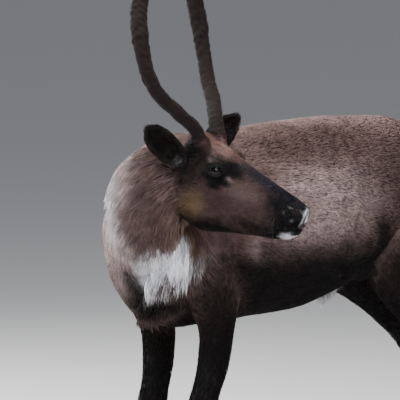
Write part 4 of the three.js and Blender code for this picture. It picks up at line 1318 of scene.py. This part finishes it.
def tube_tree():
    """Geometry nodes that lay a tapering tube along each path."""
    tree = bpy.data.node_groups.new("tube along a path", "GeometryNodeTree")
    inputs = {"Paths": "Geometry", "Radius": "Float", "Sides": "Int", "Material": "Material"}
    for name, kind in inputs.items():
        tree.interface.new_socket(name, in_out="INPUT", socket_type="NodeSocket" + kind)
    tree.interface.new_socket("Tubes", in_out="OUTPUT", socket_type="NodeSocketGeometry")
    given = add_node(tree, "NodeGroupInput").outputs
    taper = add_node(tree, "GeometryNodeInputNamedAttribute", {"Name": "taper"}, data_type="FLOAT")
    line = add_node(tree, "GeometryNodeMeshToCurve", {"Mesh": given["Paths"]})
    line = add_node(tree, "GeometryNodeSetCurveRadius", {"Curve": line, "Radius": taper})
    sockets = {"Resolution": given["Sides"], "Radius": given["Radius"]}
    ring = add_node(tree, "GeometryNodeCurvePrimitiveCircle", sockets)
    sockets = {"Curve": line, "Profile Curve": ring, "Fill Caps": True}
    tube = add_node(tree, "GeometryNodeCurveToMesh", sockets)
    real = add_node(tree, "GeometryNodeRealizeInstances", {"Geometry": tube})
    done = add_node(tree, "GeometryNodeSetMaterial", {"Geometry": real, "Material": given["Material"]})
    add_node(tree, "NodeGroupOutput", {"Tubes": done})
    return tree


def tubes(name, paths, taper, radius, sides, material, loop=False):
    """A piece with a tube along each path. All paths have the same number of points."""
    long = len(paths[0])
    ends = np.stack([np.arange(long), (np.arange(long) + 1) % long], 1)[:long if loop else long - 1]
    edges = (ends + (np.arange(len(paths)) * long)[:, None, None]).reshape(-1, 2)
    piece = new_mesh(name, np.vstack(paths), [])
    piece.data.edges.add(len(edges))
    piece.data.edges.foreach_set("vertices", edges.astype(np.int32).ravel())
    put(piece, taper=np.tile(taper, len(paths)))
    change = piece.modifiers.new("tubes", "NODES")
    change.node_group = bpy.data.node_groups.get("tube along a path") or tube_tree()
    wanted = {"Radius": radius * MM, "Sides": sides, "Material": material}
    for socket in change.node_group.interface.items_tree:
        if socket.name in wanted:
            change[socket.identifier] = wanted[socket.name]
    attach(outward(baked(piece)), "root")
    return piece


def from_eye(side, u, v, radius):
    """Places in front of an eye, at that distance from its centre, in the animal's frame."""
    centre, axes = eye_frame(side)
    out = np.sqrt(np.maximum(radius ** 2 - u ** 2 - v ** 2, 4.0))
    return from_head(np.stack([u, v, out], 1) @ axes + centre)


def make_lids(name, material):
    """The wet margin all round the lids of one eye."""
    half = 32
    lap = np.cos(np.linspace(0, math.pi, half + 1)[:-1])
    across = np.r_[-lap, lap] * MARGIN_HALF
    upper, lower = lid_edges(across)
    path = from_eye(SIDES[name], across, np.r_[upper[:half], lower[half:]], EYE_BALL + 1.4)
    return tubes("lid_margin_" + name, [path], np.ones(2 * half), MARGIN_RADIUS, 10, material, loop=True)


def make_lashes(name, material):
    """Lashes along the upper lid of one eye, longest in its middle."""
    draw = np.random.default_rng(LASH_SEED + (name == "left"))
    longest = bpy.context.scene.reindeer_eyes.lash / MM
    _, axes = eye_frame(SIDES[name])
    s = np.linspace(0, 1, 7)
    paths = []
    for u in np.linspace(-18, 18, LASHES) + draw.normal(0, 0.3, LASHES):
        place = np.array([u])
        root = to_head(from_eye(SIDES[name], place, lid_edges(place)[0] + 0.4, EYE_BALL + 2.4))[0]
        long = longest * (1 - 0.5 * (abs(u) / 19) ** 2) * draw.uniform(0.8, 1.1)
        aside = (u / 22 + draw.normal(0, 0.08)) * s * long
        rise = (0.75 * s - 0.1 + 0.15 * draw.random()) * long * s
        paths.append(from_head(root + np.stack([aside, rise, long * (s - 0.2 * s ** 2)], 1) @ axes))
    return tubes("lashes_" + name, paths, 1 - 0.9 * s, LASH_RADIUS, 5, material)


def make_whiskers(material):
    """Long stiff hairs on both sides of the muzzle and chin."""
    skin = bpy.data.objects["skin"]
    points = points_of(skin)
    normals = normals_at(points, triangles_of(skin))
    ready = got(skin, "bare") < 0.1
    for values, (low, high) in zip(to_half_head(points).T, WHISKER_ZONE):
        ready &= (values > low) & (values < high)
    draw = np.random.default_rng(WHISKER_SEED)
    s = np.linspace(0, 1, 8)
    ahead = unit(from_head(np.array([[1.0, 0, 0]])) - from_head(np.zeros((1, 3))))[0]
    paths = []
    for i in draw.choice(np.flatnonzero(ready), WHISKERS, replace=False):
        long = bpy.context.scene.reindeer_eyes.whisker / MM * draw.uniform(0.35, 1.0)
        aim = unit(normals[i] + 0.3 * ahead + draw.normal(0, 0.15, 3))
        paths.append(points[i] - normals[i] + aim * (s * long)[:, None] - UP * (0.3 * long * s ** 2)[:, None])
    return tubes("whiskers", paths, 1 - 0.85 * s, WHISKER_RADIUS, 5, material)


# How far the antlers' skin lies inside the part's surface, and the cells of its one surface
VELVET_DEPTH, VELVET_CELL = 1.6, 3.4


def beam_girth(t):
    """An antler beam's girth along it, against BEAM_RADIUS. It broadens below its fork."""
    broad = 0.2 * math.exp(-((t - 0.74) / 0.13) ** 2)
    return 1.01 + broad + 0.12 * max(0, 1 - t / 0.12) - 0.14 * float(ease(0.85, 1, t))


def tine_girth(t):
    """A tine's girth along it, against BEAM_RADIUS."""
    return 0.82 - 0.42 * t


def make_antler(name):
    """One antler in velvet: its beam and two tines as one knobbly surface."""
    side = SIDES[name]
    rods = [(BEAM, beam_girth, (32, 120, 0, 14), 60)]
    rods += [(tine, tine_girth, (28, 40, 0, 9), 12) for tine in TINES]
    parts = [antler_form(side, line, girth, -VELVET_DEPTH).tube(*steps) for line, girth, steps, _ in rods]
    antler = remeshed(new_mesh("antler_" + name, *joined(parts)), VELVET_CELL)
    points, faces = points_of(antler), triangles_of(antler)
    bpy.data.objects.remove(antler)
    points = relaxed(points, edges_of(faces)[0], 4, 0.5, keep=True)
    knobs = 0.6 * ripple(points, 16, 31) + 0.5 * ripple(points, 34, 32)
    points = points + normals_at(points, faces) * knobs[:, None]
    antler = new_mesh("antler_" + name, points, faces)
    lines = [antler_form(side, line, girth).skin(np.linspace(0, 1, count), 0.0, 0.0)
             for line, girth, _, count in rods]
    middle = np.vstack([line[:-1] for line in lines])
    along = np.vstack([unit(np.diff(line, axis=0)) for line in lines])
    nearest = np.argmin(((points[:, None] - middle[None]) ** 2).sum(2), axis=1)
    put(antler, way=along[nearest])
    return antler


def velvet_material(name, fuzz):
    """Velvet: skin with dense short down, dark in the middle and pale where the down is seen edge on."""
    material, tree = new_material(name)
    patches = add_node(tree, "ShaderNodeTexNoise", pattern(tree, 14, 4.0))
    colours = {0: patches, 6: "#0e0a09", 7: (*bpy.context.scene.reindeer_antlers.velvet, 1)}
    mottled = add_node(tree, "ShaderNodeMix", colours, data_type="RGBA").outputs[2]
    dust = add_node(tree, "ShaderNodeTexNoise", pattern(tree, 3, 2.0))
    dust = add_node(tree, "ShaderNodeMath", {0: dust, 1: 0.5 if fuzz else 0.3}, operation="MULTIPLY")
    colour = add_node(tree, "ShaderNodeMix", {0: dust, 6: mottled, 7: "#2c2321"}, data_type="RGBA").outputs[2]
    sockets = {
        "Base Color": colour, "Roughness": 0.85, "Specular IOR Level": 0.1, "Sheen Weight": 0.15,
        "Sheen Roughness": 0.3, "Sheen Tint": (0.8, 0.7, 0.66, 1)}
    if not fuzz:
        pores = add_node(tree, "ShaderNodeTexNoise", pattern(tree, 2.5))
        depth = {"Height": pores, "Strength": 0.6, "Distance": 0.001}
        sockets["Normal"] = add_node(tree, "ShaderNodeBump", depth)
    return shaded(material, sockets)


def make_toes(sections, around, steps, head, tail):
    """Every hoof or dewclaw of the four feet, flat on the floor: points and faces."""
    parts = []
    for side in SIDES.values():
        for lower in (FORELEG, HINDLEG):
            x, y = lower[-1][:2]
            for inner in (1, -1):
                toe = [(x + s[0] * inner, y + s[1], *s[2:]) for s in sections]
                points, faces = limb(side, toe).tube(around, steps, head, tail)
                points[:, 2] = np.maximum(points[:, 2], 0)
                parts.append((points, faces))
    return joined(parts)


def horn_material():
    """Hoof horn: near black keratin with growth lines across it, worn paler at the ground."""
    material, tree = new_material("hoof horn")
    place = add_node(tree, "ShaderNodeTexCoord").outputs["Object"]
    wave = {"Vector": place, "Scale": math.pi / (10 * GROWTH_LINE * MM), "Distortion": 3.0, "Detail": 2.0}
    rings = add_node(tree, "ShaderNodeTexWave", wave, bands_direction="Z").outputs["Fac"]
    low = add_node(tree, "ShaderNodeSeparateXYZ", {"Vector": place}).outputs["Z"]
    worn = add_node(tree, "ShaderNodeMapRange", {"Value": low, "From Min": 0.03, "From Max": 0.0})
    colour = (*bpy.context.scene.reindeer_hooves.horn, 1)
    for share, strength, other in ((rings, 0.5, "#2f2724"), (worn, 0.4, "#4a4039")):
        share = add_node(tree, "ShaderNodeMath", {0: share, 1: strength}, operation="MULTIPLY")
        colour = add_node(tree, "ShaderNodeMix", {0: share, 6: colour, 7: other}, data_type="RGBA").outputs[2]
    bump = add_node(tree, "ShaderNodeBump", {"Height": rings, "Strength": 0.35, "Distance": 0.0006})
    return shaded(material, {"Base Color": colour, "Roughness": 0.42, "Normal": bump})


def plain_material(name, colour, roughness):
    """A dark smooth surface too small to show a pattern: it gives the eye its crisp outline."""
    if name in bpy.data.materials:
        return bpy.data.materials[name]
    material, tree = new_material(name)
    grain = add_node(tree, "ShaderNodeTexNoise", pattern(tree, 1.5))
    colour = add_node(tree, "ShaderNodeMix", {0: grain, 6: colour, 7: "#100d0c"}, data_type="RGBA").outputs[2]
    return shaded(material, {"Base Color": colour, "Roughness": roughness, "Specular IOR Level": 0.2})


# The operators and the panel

class REINDEER_OT_skin(bpy.types.Operator):
    """Builds the skin, with the facts of the coat on its points"""

    bl_idname = "reindeer.skin"
    bl_label = "Skin"

    def execute(self, context):
        skin = make_skin()
        unwrap(skin)
        store_coat_facts(skin)
        skin.data.materials.append(skin_material())
        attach(skin, "root")
        hard = ("hoof", "claw", "eye", "antler")
        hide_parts(*[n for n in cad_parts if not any(k in n for k in hard)])
        return {"FINISHED"}


class REINDEER_OT_body_coat(bpy.types.Operator):
    """Grows the short coat of the trunk in four pieces"""

    bl_idname = "reindeer.body_coat"
    bl_label = "Body coat"

    def execute(self, context):
        for name, low, high in zip(TRUNK_PIECES, TRUNK_BORDERS, TRUNK_BORDERS[1:]):
            piece = grow(name, lambda v, p: v["is_trunk"] * between(low, high, BORDER_SOFT, p[:, 1]))
        return {"FINISHED"}


class REINDEER_OT_limb_coat(bpy.types.Operator):
    """Grows the short coat of the legs"""

    bl_idname = "reindeer.limb_coat"
    bl_label = "Leg coat"

    def execute(self, context):
        for kind in ("foreleg", "hindleg"):
            piece = grow("coat_" + kind + "s", lambda v, p: v["is_" + kind] * (1.0 + 0.6 * (p[:, 2] > 500)))
        return {"FINISHED"}


class REINDEER_OT_neck_coat(bpy.types.Operator):
    """Grows the longer coat of the neck, the white bib under the throat and the tail"""

    bl_idname = "reindeer.neck_coat"
    bl_label = "Neck coat"

    def execute(self, context):
        piece = grow("coat_neck", lambda v, p: v["is_neck"])
        piece = grow("mane", lambda v, p: v["is_bib"])
        piece = grow("coat_tail", lambda v, p: v["is_tail"] + v["is_sheath"])
        return {"FINISHED"}


class REINDEER_OT_face_coat(bpy.types.Operator):
    """Grows the fine coat of the head and ears"""

    bl_idname = "reindeer.face_coat"
    bl_label = "Face coat"

    def execute(self, context):
        piece = grow("coat_head", lambda v, p: v["is_head"])
        piece = grow("coat_ears", lambda v, p: v["is_ear"])
        return {"FINISHED"}


class REINDEER_OT_eyes(bpy.types.Operator):
    """Adds the eyeballs, the lids' margins, the lashes and the whiskers"""

    bl_idname = "reindeer.eyes"
    bl_label = "Eyes"

    def execute(self, context):
        material = eye_material()
        for name in SIDES:
            eye = make_eye(name)
            eye.data.materials.append(material)
            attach(eye, "root")
            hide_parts("eye_" + name)
            make_lids(name, plain_material("wet lid margin", "#060505", 0.4))
            make_lashes(name, plain_material("black lash", "#0a0808", 0.5))
        make_whiskers(plain_material("stiff whisker", "#2a2422", 0.5))
        return {"FINISHED"}


class REINDEER_OT_antlers(bpy.types.Operator):
    """Adds the antlers and the down of their velvet"""

    bl_idname = "reindeer.antlers"
    bl_label = "Antlers"

    def execute(self, context):
        bare, down = velvet_material("velvet skin", False), velvet_material("velvet down", True)
        parts = ("beam", "front_tine", "rear_tine")
        for name in SIDES:
            antler = make_antler(name)
            unwrap(antler)
            antler.data.materials.append(bare)
            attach(antler, "root")
            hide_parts(*["antler_%s_%s" % (name, part) for part in parts])
            fuzz = grow_down(antler, "velvet_down_" + name)
            fuzz.data.materials.append(down)
            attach(fuzz, "root")
        return {"FINISHED"}


class REINDEER_OT_hooves(bpy.types.Operator):
    """Adds the hooves and dewclaws"""

    bl_idname = "reindeer.hooves"
    bl_label = "Hooves"

    def execute(self, context):
        material = horn_material()
        shapes = (("hooves", "hoof", (TOE, 32, 30, 4, 0)), ("dewclaws", "dewclaw", (DEWCLAW, 20, 20, 0, 5)))
        for name, word, shape in shapes:
            piece = outward(new_mesh(name, *make_toes(*shape)))
            piece.data.materials.append(material)
            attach(piece, "root")
            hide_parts(*[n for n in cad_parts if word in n])
        return {"FINISHED"}


# Settings: their name in the scene, their class, their title and the operators that use them
GROUPS = (
    ("reindeer_stage", ReindeerStage, "Floor and light", ("stage",)),
    ("reindeer_coat", ReindeerCoat, "Skin and coat",
     ("skin", "body_coat", "limb_coat", "neck_coat", "face_coat")),
    ("reindeer_eyes", ReindeerEyes, "Eyes", ("eyes",)),
    ("reindeer_antlers", ReindeerAntlers, "Antlers", ("antlers",)),
    ("reindeer_hooves", ReindeerHooves, "Hooves", ("hooves",)),
)


class REINDEER_PT_sidebar(bpy.types.Panel):
    """Every setting, each over the buttons that use it"""

    bl_idname = "REINDEER_PT_sidebar"
    bl_label = "Reindeer"
    bl_space_type = "VIEW_3D"
    bl_region_type = "UI"
    bl_category = "Reindeer"

    def draw(self, context):
        for key, group, title, buttons in GROUPS:
            box = self.layout.box()
            box.label(text=title)
            for setting in group.__annotations__:
                box.prop(getattr(context.scene, key), setting)
            for button in buttons:
                box.operator("reindeer." + button)


CLASSES = tuple(group for _, group, _, _ in GROUPS) + (
    REINDEER_OT_stage, REINDEER_OT_skin, REINDEER_OT_body_coat, REINDEER_OT_limb_coat, REINDEER_OT_neck_coat,
    REINDEER_OT_face_coat, REINDEER_OT_eyes, REINDEER_OT_antlers, REINDEER_OT_hooves, REINDEER_PT_sidebar)


def register():
    """Adds the classes and the settings."""
    for one in CLASSES:
        bpy.utils.register_class(one)
    for key, group, _, _ in GROUPS:
        setattr(bpy.types.Scene, key, PointerProperty(type=group))


def unregister():
    """Takes the settings and the classes away again."""
    for key, *_ in GROUPS:
        delattr(bpy.types.Scene, key)
    for one in reversed(CLASSES):
        bpy.utils.unregister_class(one)


def main():
    """Builds every piece."""
    register()
    bpy.ops.reindeer.stage()
    bpy.ops.reindeer.skin()
    bpy.ops.reindeer.body_coat()
    bpy.ops.reindeer.limb_coat()
    bpy.ops.reindeer.neck_coat()
    bpy.ops.reindeer.face_coat()
    bpy.ops.reindeer.eyes()
    bpy.ops.reindeer.antlers()
    bpy.ops.reindeer.hooves()
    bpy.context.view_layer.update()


if __name__ == "__main__":
    main()
